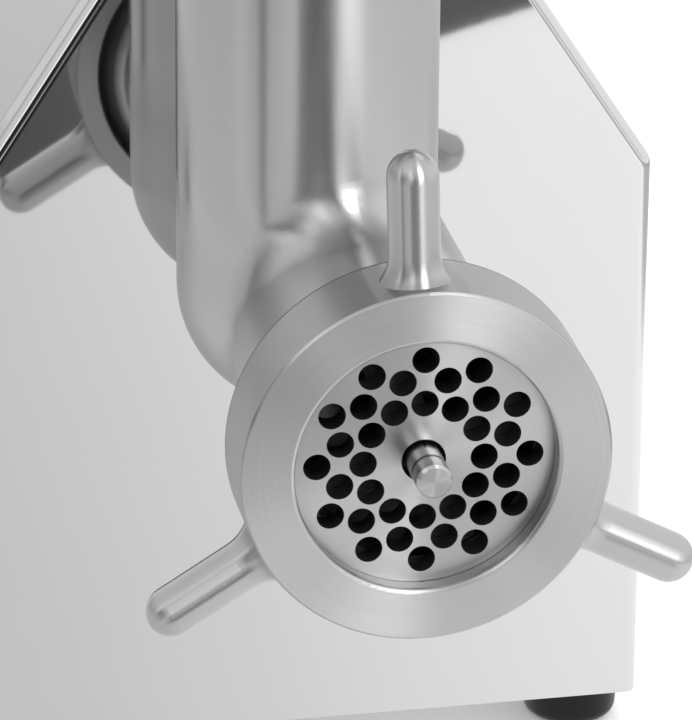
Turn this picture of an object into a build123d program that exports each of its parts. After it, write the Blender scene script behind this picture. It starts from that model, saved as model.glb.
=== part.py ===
"""Electric meat grinder with a size 22 head: stainless housing, geared motor, cast head, lift-off tray.

Millimetres, +Z up. The outlet faces -Y and the worm turns about a line along Y.
Distances called "depth" run backwards from the front face of the perforated plate.
"""
import os
from math import acos, cos, pi, radians, sin, tan

from build123d import *

os.makedirs("parts", exist_ok=True)

# Clearances
RUNNING_GAP = 0.05      # shaft in a bearing or bush, on the radius
BODY_GAP = 0.3          # pieces that move past each other
FIT_GAP = 0.1           # loose fit between fixed pieces, on the radius

# Perforated plate and knife
PLATE_DIA = 82.0
PLATE_THICK = 8.0
PLATE_HOLE_DIA = 8.0
PLATE_RINGS = ((17.65, 0.0), (25.2, 15.0), (31.05, 0.0))
PLATE_RING_COUNT = 12
PLATE_BORE_DIA = 13.0
PLATE_CLOCK = -0.5
KEY_DIA = 5.0
KNIFE_THICK = 10.0
KNIFE_HUB_DIA = 28.0
KNIFE_BLADES = 4
KNIFE_BLADE_WIDTH = 13.0
KNIFE_TAPER = 14.0
KNIFE_CLOCK = 20.0
DRIVE_SQUARE = 15.0

# Worm and its front pin
WORM_DIA = 66.8
WORM_CORE_DIA = 30.0
WORM_PITCH = 46.0
WORM_FLIGHT_ANGLE = 52.0
WORM_JOURNAL_DIA = 32.0
PIN_DIA = 10.5
PIN_REACH = 15.7
PIN_GROOVE_DIA = 8.0
PIN_GROOVE_WIDTH = 1.6
PIN_HEAD_LENGTH = 6.5
PIN_CHAMFER = 0.8
WASHER_THICK = 3.0

# Head casting
BARREL_DIA = 77.0
BARREL_BORE_DIA = 68.0
FLANGE_DIA = 93.0
FLANGE_LENGTH = 16.0
FLANGE_SETBACK = 0.8
THROAT_DIA = 79.0
THROAT_WALL = 3.5
THROAT_SHIFT = -10.3
THROAT_DEPTH = 124.5
THROAT_TOP = 140.0
THROAT_ROUND_HEIGHT = 6.0
THROAT_FILLET = 14.0
SPIGOT_DIA = 60.0
SPIGOT_LENGTH = 20.0
SOCKET_WALL = 5.0
HEAD_SCREW_DIA = 6.0
HEAD_SCREW_SEAT = 25.0
HEAD_SCREW_SOCKET_DIA = 3.4
HEAD_SCREW_TURNS = (30, 150, 270)
REAR_WALL = 21.9
HEAD_SETBACK = 8.0

# Clamp ring
RING_DIA = 108.0
RING_OPENING_DIA = 76.5
RING_LIP = 5.8
RING_LENGTH = 26.3
RING_CHAMFER = 0.7
RING_LIP_ROUND = 1.4
HANDLE_DIA = 15.0
HANDLE_REACH = 92.2
HANDLE_FLARE = 3.6
HANDLE_FLARE_LENGTH = 9.0
HANDLE_COUNT = 3
HANDLE_DEPTH = 6.8
HANDLE_ROOT = 2.0
RING_CLOCK = 1.9

# Housing sheet metal
HOUSING_WIDTH = 220.0
HOUSING_HEIGHT = 271.0
HOUSING_LENGTH = 270.0
TOP_WIDTH = 110.0
AXIS_ABOVE_BASE = 169.0
SHOULDER_ABOVE_AXIS = 17.7
CORNER_ROUND = 8.0
SHEET = 1.5
BEND_ROUND = 4.0
PAN_FLANGE = 10.0
SEAM_GAP = 1.8
JOGGLE_LENGTH = 7.0
BASE_FLANGE = 14.0
TAB_LAP = 4.0
PAN_SCREW_DIA = 3.0
PAN_SCREW_LENGTH = 6.0
PAN_SCREW_HEAD_DIA = 5.6
PAN_SCREW_HEAD = 1.8
PAN_SCREW_HEIGHTS = (40.0, 150.0)
LOUVRE_LENGTH = 44.0
LOUVRE_WIDTH = 4.0
LOUVRE_PITCH = 9.0
LOUVRE_ROWS = 7
LOUVRE_COLUMNS = 3
BASE_VENT_SETBACK = 194.0
GLAND_DIA = 20.0
GLAND_REACH = 20.0
GLAND_ABOVE_BASE = 42.0
GLAND_HEX_DIA = 28.8
GLAND_HEX_LENGTH = 7.0
GLAND_CAP_DIA = 23.2
GLAND_TIP_DIA = 16.8
CABLE_HOLE_DIA = 8.8

# Feet
FOOT_HEIGHT = 16.0
FOOT_DIA = 32.0
FOOT_TAPER = 1.0
FOOT_EDGE_ROUND = 4.0
FOOT_INSET_X = 17.1
FOOT_INSET_Y = 23.2
FOOT_SCREW_DIA = 6.0
FOOT_SCREW_HEAD_DIA = 11.0
FOOT_SCREW_HEAD = 4.0
FOOT_RECESS = 9.0

# Gear train: two spur stages, motor and worm on one line, layshaft below
GEAR_CENTRES = 60.0
FAST_MODULE = 1.5
FAST_PINION_TEETH = 18
SLOW_MODULE = 2.0
SLOW_PINION_TEETH = 16
FAST_GEAR_TEETH = round(2 * GEAR_CENTRES / FAST_MODULE) - FAST_PINION_TEETH
SLOW_GEAR_TEETH = round(2 * GEAR_CENTRES / SLOW_MODULE) - SLOW_PINION_TEETH
PRESSURE_ANGLE = radians(20)
BACKLASH = 0.3
FAST_FACE = 12.0
SLOW_FACE = 16.0
GEAR_SPACE = 4.0

# Gearbox casting
CASE_ROUND = 58.0
CASE_WALL = 6.0
NOSE_DIA = 72.0
NOSE_PROUD = 0.5
COVER_THICK = 12.0
LUG_DIA = 14.0
LUG_TURNS = (30, 90, 150, 210, 270, 330)
COVER_SCREW_DIA = 5.0
COVER_SCREW_GRIP = 14.0
COVER_SCREW_HEAD_DIA = 8.5
COVER_SCREW_HEAD = 5.0
PEDESTAL_WIDTH = 110.0
PEDESTAL_NECK = 92.0
PEDESTAL_ARCH_DIA = 46.0
DRIVE_SHAFT_DIA = 25.0
COUPLING_DIA = 36.0
COUPLING_LENGTH = 26.0
DRIVE_BEARING_DIA = 47.0
DRIVE_BEARING_WIDTH = 12.0
SEAL_WIDTH = 8.0
LAYSHAFT_DIA = 15.0
LAYSHAFT_BEARING_DIA = 32.0
LAYSHAFT_BEARING_WIDTH = 9.0

# Motor
MOTOR_DIA = 122.0
MOTOR_WALL = 4.0
MOTOR_LENGTH = 80.0
MOTOR_FINS = 24
MOTOR_FIN_HEIGHT = 4.0
MOTOR_FIN_WIDTH = 2.5
BELL_THICK = 12.0
BELL_BORE_DIA = 19.0
MOTOR_SHAFT_DIA = 15.0
MOTOR_BEARING_DIA = 35.0
MOTOR_BEARING_WIDTH = 9.0
ROTOR_DIA = 62.0
ROTOR_LENGTH = 58.0
AIR_GAP = 0.5
WINDING_STEP = 1.0
FAN_DIA = 96.0
FAN_WIDTH = 14.0
FAN_BLADES = 8
FAN_RIM = 4.0
COWL_SHEET = 1.2
COWL_LENGTH = 26.0
CAPACITOR_DIA = 40.0
CAPACITOR_LENGTH = 78.0
STRAP_SPAN = 68.0

# Controls on the left wall
CONTROL_DEPTH = 78.0
CONTROL_BELOW_AXIS = 62.0
CONTROL_LENGTH = 104.0
CONTROL_HEIGHT = 44.0
CONTROL_THICK = 3.0
BUTTON_DIA = 20.0
BUTTON_SPACING = 28.0
BUTTON_PROUD = 4.5
BUTTON_TRAVEL = 3.0
BUTTON_SHOULDER = 2.0
CONTROL_BORDER = 12.0
SWITCH_DEPTH = 34.0
SWITCH_RAIL = 3.0

# Feed tray
TRAY_WIDTH = 240.0
TRAY_LENGTH = 290.0
TRAY_DEPTH = 45.0
TRAY_SHEET = 1.5
TRAY_SLOPE = 18.0
TRAY_CORNER = 32.0
TRAY_RIM = 9.0
TRAY_COLLAR_LENGTH = 24.0
TRAY_LIP = 6.0
TRAY_SETBACK = 45.0

# Places that follow from the sizes above
AXIS_Z = FOOT_HEIGHT + AXIS_ABOVE_BASE
PANEL_DEPTH = THROAT_DEPTH + THROAT_DIA / 2 + HEAD_SETBACK
OVERALL_LENGTH = PIN_REACH + PANEL_DEPTH + HOUSING_LENGTH + GLAND_REACH
PLATE_Y = PIN_REACH - OVERALL_LENGTH / 2
REAR_DEPTH = PANEL_DEPTH + HOUSING_LENGTH
KNIFE_START = PLATE_THICK + BODY_GAP
WORM_START = KNIFE_START + KNIFE_THICK
BARREL_END = PANEL_DEPTH - NOSE_PROUD
REAR_WALL_START = BARREL_END - REAR_WALL
WORM_END = REAR_WALL_START - WASHER_THICK - BODY_GAP
WORM_LENGTH = WORM_END - WORM_START
COUPLING_START = BARREL_END + SOCKET_WALL
DRIVE_BEARING_START = COUPLING_START + COUPLING_LENGTH
NOSE_END = DRIVE_BEARING_START + 2 * DRIVE_BEARING_WIDTH
CASE_START = NOSE_END - CASE_WALL
SLOW_START = NOSE_END + GEAR_SPACE
FAST_START = SLOW_START + SLOW_FACE + GEAR_SPACE
COVER_START = FAST_START + FAST_FACE + GEAR_SPACE
MOTOR_START = COVER_START + COVER_THICK
SHELL_START = MOTOR_START + BELL_THICK
SHELL_END = SHELL_START + MOTOR_LENGTH
MOTOR_END = SHELL_END + BELL_THICK
SIDE_WALL_X = -HOUSING_WIDTH / 2
BASE_TOP = FOOT_HEIGHT + SHEET
CASING_START = PANEL_DEPTH + PAN_FLANGE + SEAM_GAP
CASING_END = REAR_DEPTH - PAN_FLANGE - SEAM_GAP
TRAY_FLOOR = AXIS_Z + THROAT_TOP + BODY_GAP
THROAT_BORE_R = THROAT_DIA / 2 - THROAT_WALL


def across(depth, x=0.0, z=0.0):
    """Plane square to the worm, facing the outlet, with local x along X and local y along Z."""
    return Plane(origin=(x, PLATE_Y + depth, AXIS_Z + z), x_dir=(1, 0, 0), z_dir=(0, -1, 0))


def along(z=0.0):
    """Plane through a line parallel to the worm, with local x backwards and local y up."""
    return Plane(origin=(0, PLATE_Y, AXIS_Z + z), x_dir=(0, 1, 0), z_dir=(1, 0, 0))


def level(height, x=0.0, depth=0.0):
    """Level plane at a height above the floor, centred at a depth."""
    return Plane(origin=(x, PLATE_Y + depth, height))


def turn(points, z=0.0, mode=Mode.ADD):
    """Revolve a profile of (depth, radius) points about the worm's line, or one parallel to it."""
    with BuildSketch(along(z)) as profile:
        with BuildLine():
            Polyline(*points, close=True)
        make_face()
    revolve(profile.sketch, axis=Axis((0, 0, AXIS_Z + z), (0, 1, 0)), mode=mode)


def turn_ring(inner_dia, outer_dia, start, end, z=0.0, mode=Mode.ADD):
    """Plain turned ring, or a disc where the inner diameter is 0."""
    inner, outer = inner_dia / 2, outer_dia / 2
    turn([(start, inner), (end, inner), (end, outer), (start, outer)], z, mode)


def keep(piece, name):
    """Label a finished piece and write it to its own file."""
    piece.part.label = name
    export_step(piece.part, f"parts/{name}.step")


def gear_points(teeth, module, tooth_angle):
    """Involute spur gear outline with a tooth centred at tooth_angle, in radians."""
    pitch_r = module * teeth / 2
    base_r = pitch_r * cos(PRESSURE_ANGLE)
    tip_r = pitch_r + module
    root_r = pitch_r - 1.25 * module
    half = (pi * module / 2 - BACKLASH) / (2 * pitch_r)
    start_r = max(base_r, root_r)

    def flank(radius):
        slope = acos(min(1.0, base_r / radius))
        return half + tan(PRESSURE_ANGLE) - PRESSURE_ANGLE - tan(slope) + slope

    radii = [start_r, (start_r + tip_r) / 2, tip_r]
    side = [(radius, flank(radius)) for radius in radii]
    if root_r < base_r:
        side.insert(0, (root_r, flank(base_r)))
    points = []
    for tooth in range(teeth):
        middle = tooth_angle + 2 * pi * tooth / teeth
        for radius, angle in side:
            points.append((radius * cos(middle - angle), radius * sin(middle - angle)))
        for radius, angle in reversed(side):
            points.append((radius * cos(middle + angle), radius * sin(middle + angle)))
    return points


def spur_gear(teeth, module, tooth_angle, start, face, z=0.0):
    """Extrude a spur gear between two depths."""
    with BuildSketch(across(start, z=z)) as section:
        with BuildLine():
            Polyline(*gear_points(teeth, module, tooth_angle), close=True)
        make_face()
    extrude(section.sketch, amount=-face)


def housing_section(depth, inset=0.0, skirt=0.0):
    """Six-sided housing section across the worm, drawn inwards by inset, its sides longer by skirt."""
    half, top = HOUSING_WIDTH / 2, TOP_WIDTH / 2
    floor = -AXIS_ABOVE_BASE - skirt
    roof = HOUSING_HEIGHT - AXIS_ABOVE_BASE
    with BuildSketch(across(depth)) as section:
        with BuildLine():
            Polyline((-half, floor), (half, floor), (half, SHOULDER_ABOVE_AXIS), (top, roof),
                     (-top, roof), (-half, SHOULDER_ABOVE_AXIS), close=True)
        make_face()
        fillet(section.vertices().sort_by(Axis.Y)[2:], CORNER_ROUND)
        if inset:
            offset(amount=-inset, mode=Mode.REPLACE)
    return section.sketch


def rounded_block(depth, inset, length, inwards, bend):
    """Housing section extruded inwards from an end, bent round at its sides and top."""
    with BuildPart() as block:
        extrude(housing_section(depth, inset), amount=-length * inwards)
        outer_end = 0 if inwards > 0 else -1
        end_edges = block.faces().filter_by(Axis.Y).sort_by(Axis.Y)[outer_end].edges()
        fillet(end_edges.sort_by(Axis.Z)[1:], bend)
    return block.part


def housing_pan(outer_depth, inwards):
    """Flanged sheet pan that closes one end of the housing. inwards is 1 at the front, -1 at the rear."""
    hollow_depth = outer_depth + SHEET * inwards
    add(rounded_block(outer_depth, 0, PAN_FLANGE, inwards, BEND_ROUND))
    add(rounded_block(hollow_depth, SHEET, PAN_FLANGE, inwards, BEND_ROUND - SHEET), mode=Mode.SUBTRACT)


def side_pins(dia, start, end, mode=Mode.ADD):
    """Round pins through both side walls at the rear panel's screws, where its flange laps the casing.
    start and end are distances out from the wall."""
    depth = REAR_DEPTH - PAN_FLANGE + (JOGGLE_LENGTH - SEAM_GAP) / 2
    for side in (-1, 1):
        for height in PAN_SCREW_HEIGHTS:
            centre = (side * (HOUSING_WIDTH / 2 + start), PLATE_Y + depth, FOOT_HEIGHT + height)
            with BuildSketch(Plane(origin=centre, x_dir=(0, 1, 0), z_dir=(side, 0, 0))) as section:
                Circle(dia / 2)
            extrude(section.sketch, amount=end - start, mode=mode)


# Front panel: polished pan with a round opening for the gearbox nose
with BuildPart() as front_panel:
    housing_pan(PANEL_DEPTH, 1)
    with BuildSketch(across(PANEL_DEPTH)):
        Circle(NOSE_DIA / 2 + FIT_GAP)
    extrude(amount=PAN_FLANGE, both=True, mode=Mode.SUBTRACT)
keep(front_panel, "front_panel")

# Rear panel: the same pan with rows of cooling slots and a hole for the cable gland
GLAND_Z = GLAND_ABOVE_BASE - AXIS_ABOVE_BASE
with BuildPart() as rear_panel:
    housing_pan(REAR_DEPTH, -1)
    with BuildSketch(across(REAR_DEPTH)):
        with GridLocations(LOUVRE_LENGTH + LOUVRE_PITCH, LOUVRE_PITCH, LOUVRE_COLUMNS, LOUVRE_ROWS):
            SlotOverall(LOUVRE_LENGTH, LOUVRE_WIDTH)
        with Locations((HOUSING_WIDTH / 4, GLAND_Z)):
            Circle(GLAND_DIA / 2)
    extrude(amount=PAN_FLANGE, both=True, mode=Mode.SUBTRACT)
    side_pins(PAN_SCREW_DIA + 2 * FIT_GAP, -PAN_SCREW_LENGTH, PAN_SCREW_HEAD, Mode.SUBTRACT)
keep(rear_panel, "rear_panel")

# Casing: one folded sheet over the sides, slopes and top, with joggled ends inside both pans
CONTROL_Y = PLATE_Y + PANEL_DEPTH + CONTROL_DEPTH
CONTROL_Z = AXIS_Z - CONTROL_BELOW_AXIS
with BuildPart() as casing:
    skirt = 2 * CORNER_ROUND
    joggle_start = CASING_START - JOGGLE_LENGTH
    joggle_end = CASING_END + JOGGLE_LENGTH
    step_start = CASING_START + SHEET
    step_end = CASING_END - SHEET
    extrude(housing_section(CASING_START, 0, skirt), amount=CASING_START - CASING_END)
    extrude(housing_section(joggle_start, SHEET, skirt), amount=joggle_start - joggle_end)
    extrude(housing_section(step_start, SHEET, skirt), amount=step_start - step_end, mode=Mode.SUBTRACT)
    extrude(housing_section(joggle_start, 2 * SHEET, skirt), amount=joggle_start - joggle_end,
            mode=Mode.SUBTRACT)
    with BuildSketch(level(FOOT_HEIGHT, depth=(CASING_START + CASING_END) / 2)):
        Rectangle(2 * HOUSING_WIDTH, 2 * HOUSING_LENGTH)
    extrude(amount=-HOUSING_HEIGHT, mode=Mode.SUBTRACT)
    with BuildSketch(level(FOOT_HEIGHT)):
        with Locations((0, joggle_start), (0, joggle_end)):
            Rectangle(2 * HOUSING_WIDTH, 2 * JOGGLE_LENGTH)
    extrude(amount=CORNER_ROUND + 2 * SHEET, mode=Mode.SUBTRACT)
    with BuildSketch(Plane(origin=(SIDE_WALL_X, CONTROL_Y, CONTROL_Z), x_dir=(0, 1, 0), z_dir=(-1, 0, 0))):
        Rectangle(CONTROL_LENGTH - CONTROL_BORDER, CONTROL_HEIGHT - CONTROL_BORDER)
    extrude(amount=PAN_FLANGE, both=True, mode=Mode.SUBTRACT)
    side_pins(PAN_SCREW_DIA + 2 * FIT_GAP, -PAN_SCREW_LENGTH, PAN_SCREW_HEAD, Mode.SUBTRACT)
keep(casing, "casing")

# Pan-head screws that hold the rear panel to the casing; the front panel is spot-welded to it
with BuildPart() as panel_screws:
    side_pins(PAN_SCREW_HEAD_DIA, 0, PAN_SCREW_HEAD)
    side_pins(PAN_SCREW_DIA, -PAN_SCREW_LENGTH, 0)
keep(panel_screws, "panel_screws")

# Base plate: shallow pan between the casing's legs, with tabs that lie on the pans' lower flanges
BASE_LENGTH = CASING_END - CASING_START - 2 * SHEET
BASE_WIDTH = HOUSING_WIDTH - 2 * SHEET
BASE_MIDDLE = (CASING_START + CASING_END) / 2
TAB_WIDTH = HOUSING_WIDTH - 2 * CORNER_ROUND - 4 * SHEET
FOOT_PLACES = {
    "front_left": (FOOT_INSET_X - HOUSING_WIDTH / 2, PANEL_DEPTH + FOOT_INSET_Y),
    "front_right": (HOUSING_WIDTH / 2 - FOOT_INSET_X, PANEL_DEPTH + FOOT_INSET_Y),
    "rear_left": (FOOT_INSET_X - HOUSING_WIDTH / 2, REAR_DEPTH - FOOT_INSET_Y),
    "rear_right": (HOUSING_WIDTH / 2 - FOOT_INSET_X, REAR_DEPTH - FOOT_INSET_Y),
}
with BuildPart() as base_plate:
    with BuildSketch(level(FOOT_HEIGHT, depth=BASE_MIDDLE)):
        Rectangle(BASE_WIDTH, BASE_LENGTH)
    extrude(amount=BASE_FLANGE)
    with BuildSketch(level(BASE_TOP, depth=BASE_MIDDLE)):
        Rectangle(BASE_WIDTH - 2 * SHEET, BASE_LENGTH)
    extrude(amount=BASE_FLANGE, mode=Mode.SUBTRACT)
    with BuildSketch(level(BASE_TOP, depth=BASE_MIDDLE)):
        Rectangle(TAB_WIDTH, BASE_LENGTH + 2 * JOGGLE_LENGTH + 2 * SHEET)
        Rectangle(TAB_WIDTH, BASE_LENGTH - 2 * TAB_LAP, mode=Mode.SUBTRACT)
    extrude(amount=SHEET)
    with BuildSketch(level(FOOT_HEIGHT)):
        with Locations(*FOOT_PLACES.values()):
            Circle(FOOT_SCREW_DIA / 2 + FIT_GAP)
        with Locations((0, PANEL_DEPTH + BASE_VENT_SETBACK)):
            with GridLocations(LOUVRE_PITCH, 0, LOUVRE_ROWS, 1):
                SlotOverall(LOUVRE_LENGTH, LOUVRE_WIDTH, rotation=90)
    extrude(amount=2 * BASE_FLANGE, mode=Mode.SUBTRACT)
keep(base_plate, "base_plate")

# Feet: moulded rubber, each held by a screw from below in a deep recess
for place, (foot_x, foot_depth) in FOOT_PLACES.items():
    with BuildPart() as foot:
        with BuildSketch(level(0, foot_x, foot_depth)):
            Circle(FOOT_DIA / 2 - FOOT_TAPER)
        with BuildSketch(level(FOOT_HEIGHT, foot_x, foot_depth)):
            Circle(FOOT_DIA / 2)
        loft()
        fillet(foot.faces().sort_by(Axis.Z)[0].edges(), FOOT_EDGE_ROUND)
        with Locations(level(FOOT_HEIGHT, foot_x, foot_depth)):
            Hole(FOOT_SCREW_DIA / 2 + FIT_GAP)
        with BuildSketch(level(0, foot_x, foot_depth)):
            Circle(FOOT_SCREW_HEAD_DIA / 2 + FIT_GAP)
        extrude(amount=FOOT_RECESS, mode=Mode.SUBTRACT)
    keep(foot, f"foot_{place}")

with BuildPart() as foot_screws:
    for foot_x, foot_depth in FOOT_PLACES.values():
        with BuildSketch(level(FOOT_RECESS, foot_x, foot_depth)):
            Circle(FOOT_SCREW_HEAD_DIA / 2)
        extrude(amount=-FOOT_SCREW_HEAD)
        with BuildSketch(level(FOOT_RECESS, foot_x, foot_depth)):
            Circle(FOOT_SCREW_DIA / 2)
        extrude(amount=BASE_TOP + FOOT_SCREW_DIA - FOOT_RECESS)
        with BuildSketch(level(BASE_TOP, foot_x, foot_depth)):
            RegularPolygon(FOOT_SCREW_HEAD_DIA / 2, 6)
        extrude(amount=FOOT_SCREW_DIA)
keep(foot_screws, "foot_screws")

# Cable gland: threaded body through the rear panel, a flange outside and a nut inside
GLAND_X = HOUSING_WIDTH / 4
with BuildPart() as cable_gland:
    with BuildSketch(across(REAR_DEPTH, GLAND_X, GLAND_Z)):
        RegularPolygon(GLAND_HEX_DIA / 2, 6)
    extrude(amount=-GLAND_HEX_LENGTH)
    with BuildSketch(across(REAR_DEPTH + GLAND_HEX_LENGTH, GLAND_X, GLAND_Z)):
        Circle(GLAND_CAP_DIA / 2)
    with BuildSketch(across(REAR_DEPTH + GLAND_REACH, GLAND_X, GLAND_Z)):
        Circle(GLAND_TIP_DIA / 2)
    loft()
    with BuildSketch(across(REAR_DEPTH, GLAND_X, GLAND_Z)):
        Circle(GLAND_DIA / 2 - FIT_GAP)
    extrude(amount=PAN_FLANGE)
    with BuildSketch(across(REAR_DEPTH + GLAND_REACH, GLAND_X, GLAND_Z)):
        Circle(CABLE_HOLE_DIA / 2)
    extrude(amount=GLAND_REACH + PAN_FLANGE, mode=Mode.SUBTRACT)
keep(cable_gland, "cable_gland")

with BuildPart() as gland_nut:
    with BuildSketch(across(REAR_DEPTH - SHEET, GLAND_X, GLAND_Z)):
        RegularPolygon(GLAND_HEX_DIA / 2, 6)
        Circle(GLAND_DIA / 2, mode=Mode.SUBTRACT)
    extrude(amount=PAN_FLANGE / 2)
keep(gland_nut, "gland_nut")

# Controls: a bezel on the left wall, three push buttons and the switch block behind them
BUTTON_DEPTHS = {"start": -BUTTON_SPACING, "stop": 0.0, "reverse": BUTTON_SPACING}


def control_plane(out, along_wall=0.0):
    """Plane parallel to the left wall, a distance out from it, facing left."""
    return Plane(origin=(SIDE_WALL_X - out, CONTROL_Y + along_wall, CONTROL_Z),
                 x_dir=(0, -1, 0), z_dir=(-1, 0, 0))


with BuildPart() as control_plate:
    with BuildSketch(control_plane(0)):
        RectangleRounded(CONTROL_LENGTH, CONTROL_HEIGHT, CORNER_ROUND)
    extrude(amount=CONTROL_THICK)
    fillet(control_plate.faces().sort_by(Axis.X)[0].edges(), CONTROL_THICK / 3)
    with BuildSketch(control_plane(CONTROL_THICK)):
        with Locations(*[(-place, 0) for place in BUTTON_DEPTHS.values()]):
            Circle(BUTTON_DIA / 2 + BODY_GAP)
    extrude(amount=-2 * CONTROL_THICK, mode=Mode.SUBTRACT)
keep(control_plate, "control_plate")

for name, place in BUTTON_DEPTHS.items():
    with BuildPart() as button:
        with BuildSketch(control_plane(CONTROL_THICK + BUTTON_PROUD, place)):
            Circle(BUTTON_DIA / 2)
        extrude(amount=-CONTROL_THICK - BUTTON_PROUD - BODY_GAP)
        fillet(button.faces().sort_by(Axis.X)[0].edges(), BUTTON_PROUD / 3)
        with BuildSketch(control_plane(-BODY_GAP, place)):
            Circle(BUTTON_DIA / 2 + BUTTON_SHOULDER)
        extrude(amount=-BUTTON_SHOULDER)
    keep(button, f"{name}_button")

SWITCH_LENGTH = CONTROL_LENGTH - CONTROL_BORDER - 2 * BODY_GAP
SWITCH_HEIGHT = CONTROL_HEIGHT - CONTROL_BORDER - 2 * BODY_GAP
with BuildPart() as switch_block:
    with BuildSketch(control_plane(-BODY_GAP - BUTTON_SHOULDER - BUTTON_TRAVEL - BODY_GAP)):
        Rectangle(SWITCH_LENGTH, SWITCH_HEIGHT)
    extrude(amount=-SWITCH_DEPTH)
    with BuildSketch(control_plane(0)):
        with GridLocations(SWITCH_LENGTH - SWITCH_RAIL, 0, 2, 1):
            Rectangle(SWITCH_RAIL, SWITCH_HEIGHT)
    extrude(amount=-SWITCH_DEPTH)
keep(switch_block, "switch_block")

# Gearbox case: two round lobes on a pedestal, with a long nose that holds the drive bearings
LAYSHAFT_Z = -GEAR_CENTRES
LAYSHAFT_START = CASE_START - LAYSHAFT_BEARING_WIDTH
CAVITY_R = CASE_ROUND - CASE_WALL
PEDESTAL_TOP = LAYSHAFT_Z - CASE_ROUND / 2
PEDESTAL_FOOT = BASE_TOP - AXIS_Z
SOCKET_DEPTH = BARREL_END + SPIGOT_LENGTH


def case_lobes(depth, radius, length, mode=Mode.ADD):
    """Two overlapping round lobes, one on the worm's line and one on the layshaft's."""
    with BuildSketch(across(depth)) as lobes:
        with Locations((0, LAYSHAFT_Z / 2)):
            SlotCenterToCenter(GEAR_CENTRES, 2 * radius, rotation=90)
    extrude(lobes.sketch, amount=-length, mode=mode)


def lug_discs(depth, dia, length, mode=Mode.ADD):
    """Discs at the six screw lugs round the two lobes."""
    with BuildSketch(across(depth)) as discs:
        for lug_turn in LUG_TURNS:
            lobe_z = 0 if lug_turn < 180 else LAYSHAFT_Z
            lug_x = CASE_ROUND * cos(radians(lug_turn))
            lug_z = CASE_ROUND * sin(radians(lug_turn))
            with Locations((lug_x, lobe_z + lug_z)):
                Circle(dia / 2)
    extrude(discs.sketch, amount=-length, mode=mode)


def nose_pins(dia, inner_r, outer_r, mode=Mode.ADD):
    """Round pins across the nose at the head screws, between two distances from the worm's line."""
    for pin_turn in HEAD_SCREW_TURNS:
        outwards = (cos(radians(pin_turn)), 0, sin(radians(pin_turn)))
        middle = (0, PLATE_Y + SOCKET_DEPTH - SPIGOT_LENGTH / 2, AXIS_Z)
        with BuildSketch(Plane(origin=middle, x_dir=(0, 1, 0), z_dir=outwards).offset(inner_r)) as section:
            Circle(dia / 2)
        extrude(section.sketch, amount=outer_r - inner_r, mode=mode)


with BuildPart() as gearbox_case:
    case_lobes(CASE_START, CASE_ROUND, COVER_START - CASE_START)
    lug_discs(CASE_START, LUG_DIA, COVER_START - CASE_START)
    with BuildSketch(across(CASE_START)):
        with BuildLine():
            Polyline((-PEDESTAL_WIDTH / 2, PEDESTAL_FOOT), (PEDESTAL_WIDTH / 2, PEDESTAL_FOOT),
                     (PEDESTAL_NECK / 2, PEDESTAL_TOP), (-PEDESTAL_NECK / 2, PEDESTAL_TOP), close=True)
        make_face()
        with Locations((0, PEDESTAL_FOOT)):
            Circle(PEDESTAL_ARCH_DIA / 2, mode=Mode.SUBTRACT)
    extrude(amount=CASE_START - COVER_START)
    case_lobes(NOSE_END, CAVITY_R, COVER_START - NOSE_END, Mode.SUBTRACT)
    turn_ring(0, NOSE_DIA, BARREL_END, NOSE_END)
    turn_ring(0, LAYSHAFT_BEARING_DIA + 2 * CASE_WALL, LAYSHAFT_START - CASE_WALL, NOSE_END, LAYSHAFT_Z)
    turn_ring(0, SPIGOT_DIA + 2 * FIT_GAP, BARREL_END, SOCKET_DEPTH, mode=Mode.SUBTRACT)
    turn_ring(0, DRIVE_BEARING_DIA, BARREL_END, NOSE_END, mode=Mode.SUBTRACT)
    turn_ring(0, LAYSHAFT_BEARING_DIA, LAYSHAFT_START, NOSE_END, LAYSHAFT_Z, Mode.SUBTRACT)
    lug_discs(COVER_START - COVER_SCREW_GRIP, COVER_SCREW_DIA + 2 * FIT_GAP, COVER_SCREW_GRIP, Mode.SUBTRACT)
    nose_pins(HEAD_SCREW_DIA + 2 * FIT_GAP, HEAD_SCREW_SEAT, NOSE_DIA, Mode.SUBTRACT)
keep(gearbox_case, "gearbox_case")

# Socket set screws that hold the head's spigot in the nose, reached from inside the housing
with BuildPart() as head_screws:
    nose_pins(HEAD_SCREW_DIA, HEAD_SCREW_SEAT, NOSE_DIA / 2)
    nose_pins(HEAD_SCREW_SOCKET_DIA, NOSE_DIA / 2 - HEAD_SCREW_DIA / 2, NOSE_DIA / 2, Mode.SUBTRACT)
keep(head_screws, "head_screws")

# Gearbox cover: closes the case and carries the motor
with BuildPart() as gearbox_cover:
    case_lobes(COVER_START, CASE_ROUND, COVER_THICK)
    lug_discs(COVER_START, LUG_DIA, COVER_THICK)
    turn_ring(0, MOTOR_BEARING_DIA, COVER_START, MOTOR_START, mode=Mode.SUBTRACT)
    turn_ring(0, LAYSHAFT_BEARING_DIA, COVER_START, COVER_START + LAYSHAFT_BEARING_WIDTH, LAYSHAFT_Z,
              Mode.SUBTRACT)
    lug_discs(COVER_START, COVER_SCREW_DIA + 2 * FIT_GAP, COVER_THICK, Mode.SUBTRACT)
    lug_discs(MOTOR_START - COVER_SCREW_HEAD, COVER_SCREW_HEAD_DIA + 2 * FIT_GAP, COVER_SCREW_HEAD,
              Mode.SUBTRACT)
keep(gearbox_cover, "gearbox_cover")

# Cap screws sunk in the cover's lugs
with BuildPart() as cover_screws:
    lug_discs(COVER_START - COVER_SCREW_GRIP, COVER_SCREW_DIA, COVER_SCREW_GRIP + COVER_THICK)
    lug_discs(MOTOR_START - COVER_SCREW_HEAD, COVER_SCREW_HEAD_DIA, COVER_SCREW_HEAD)
keep(cover_screws, "cover_screws")

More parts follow.
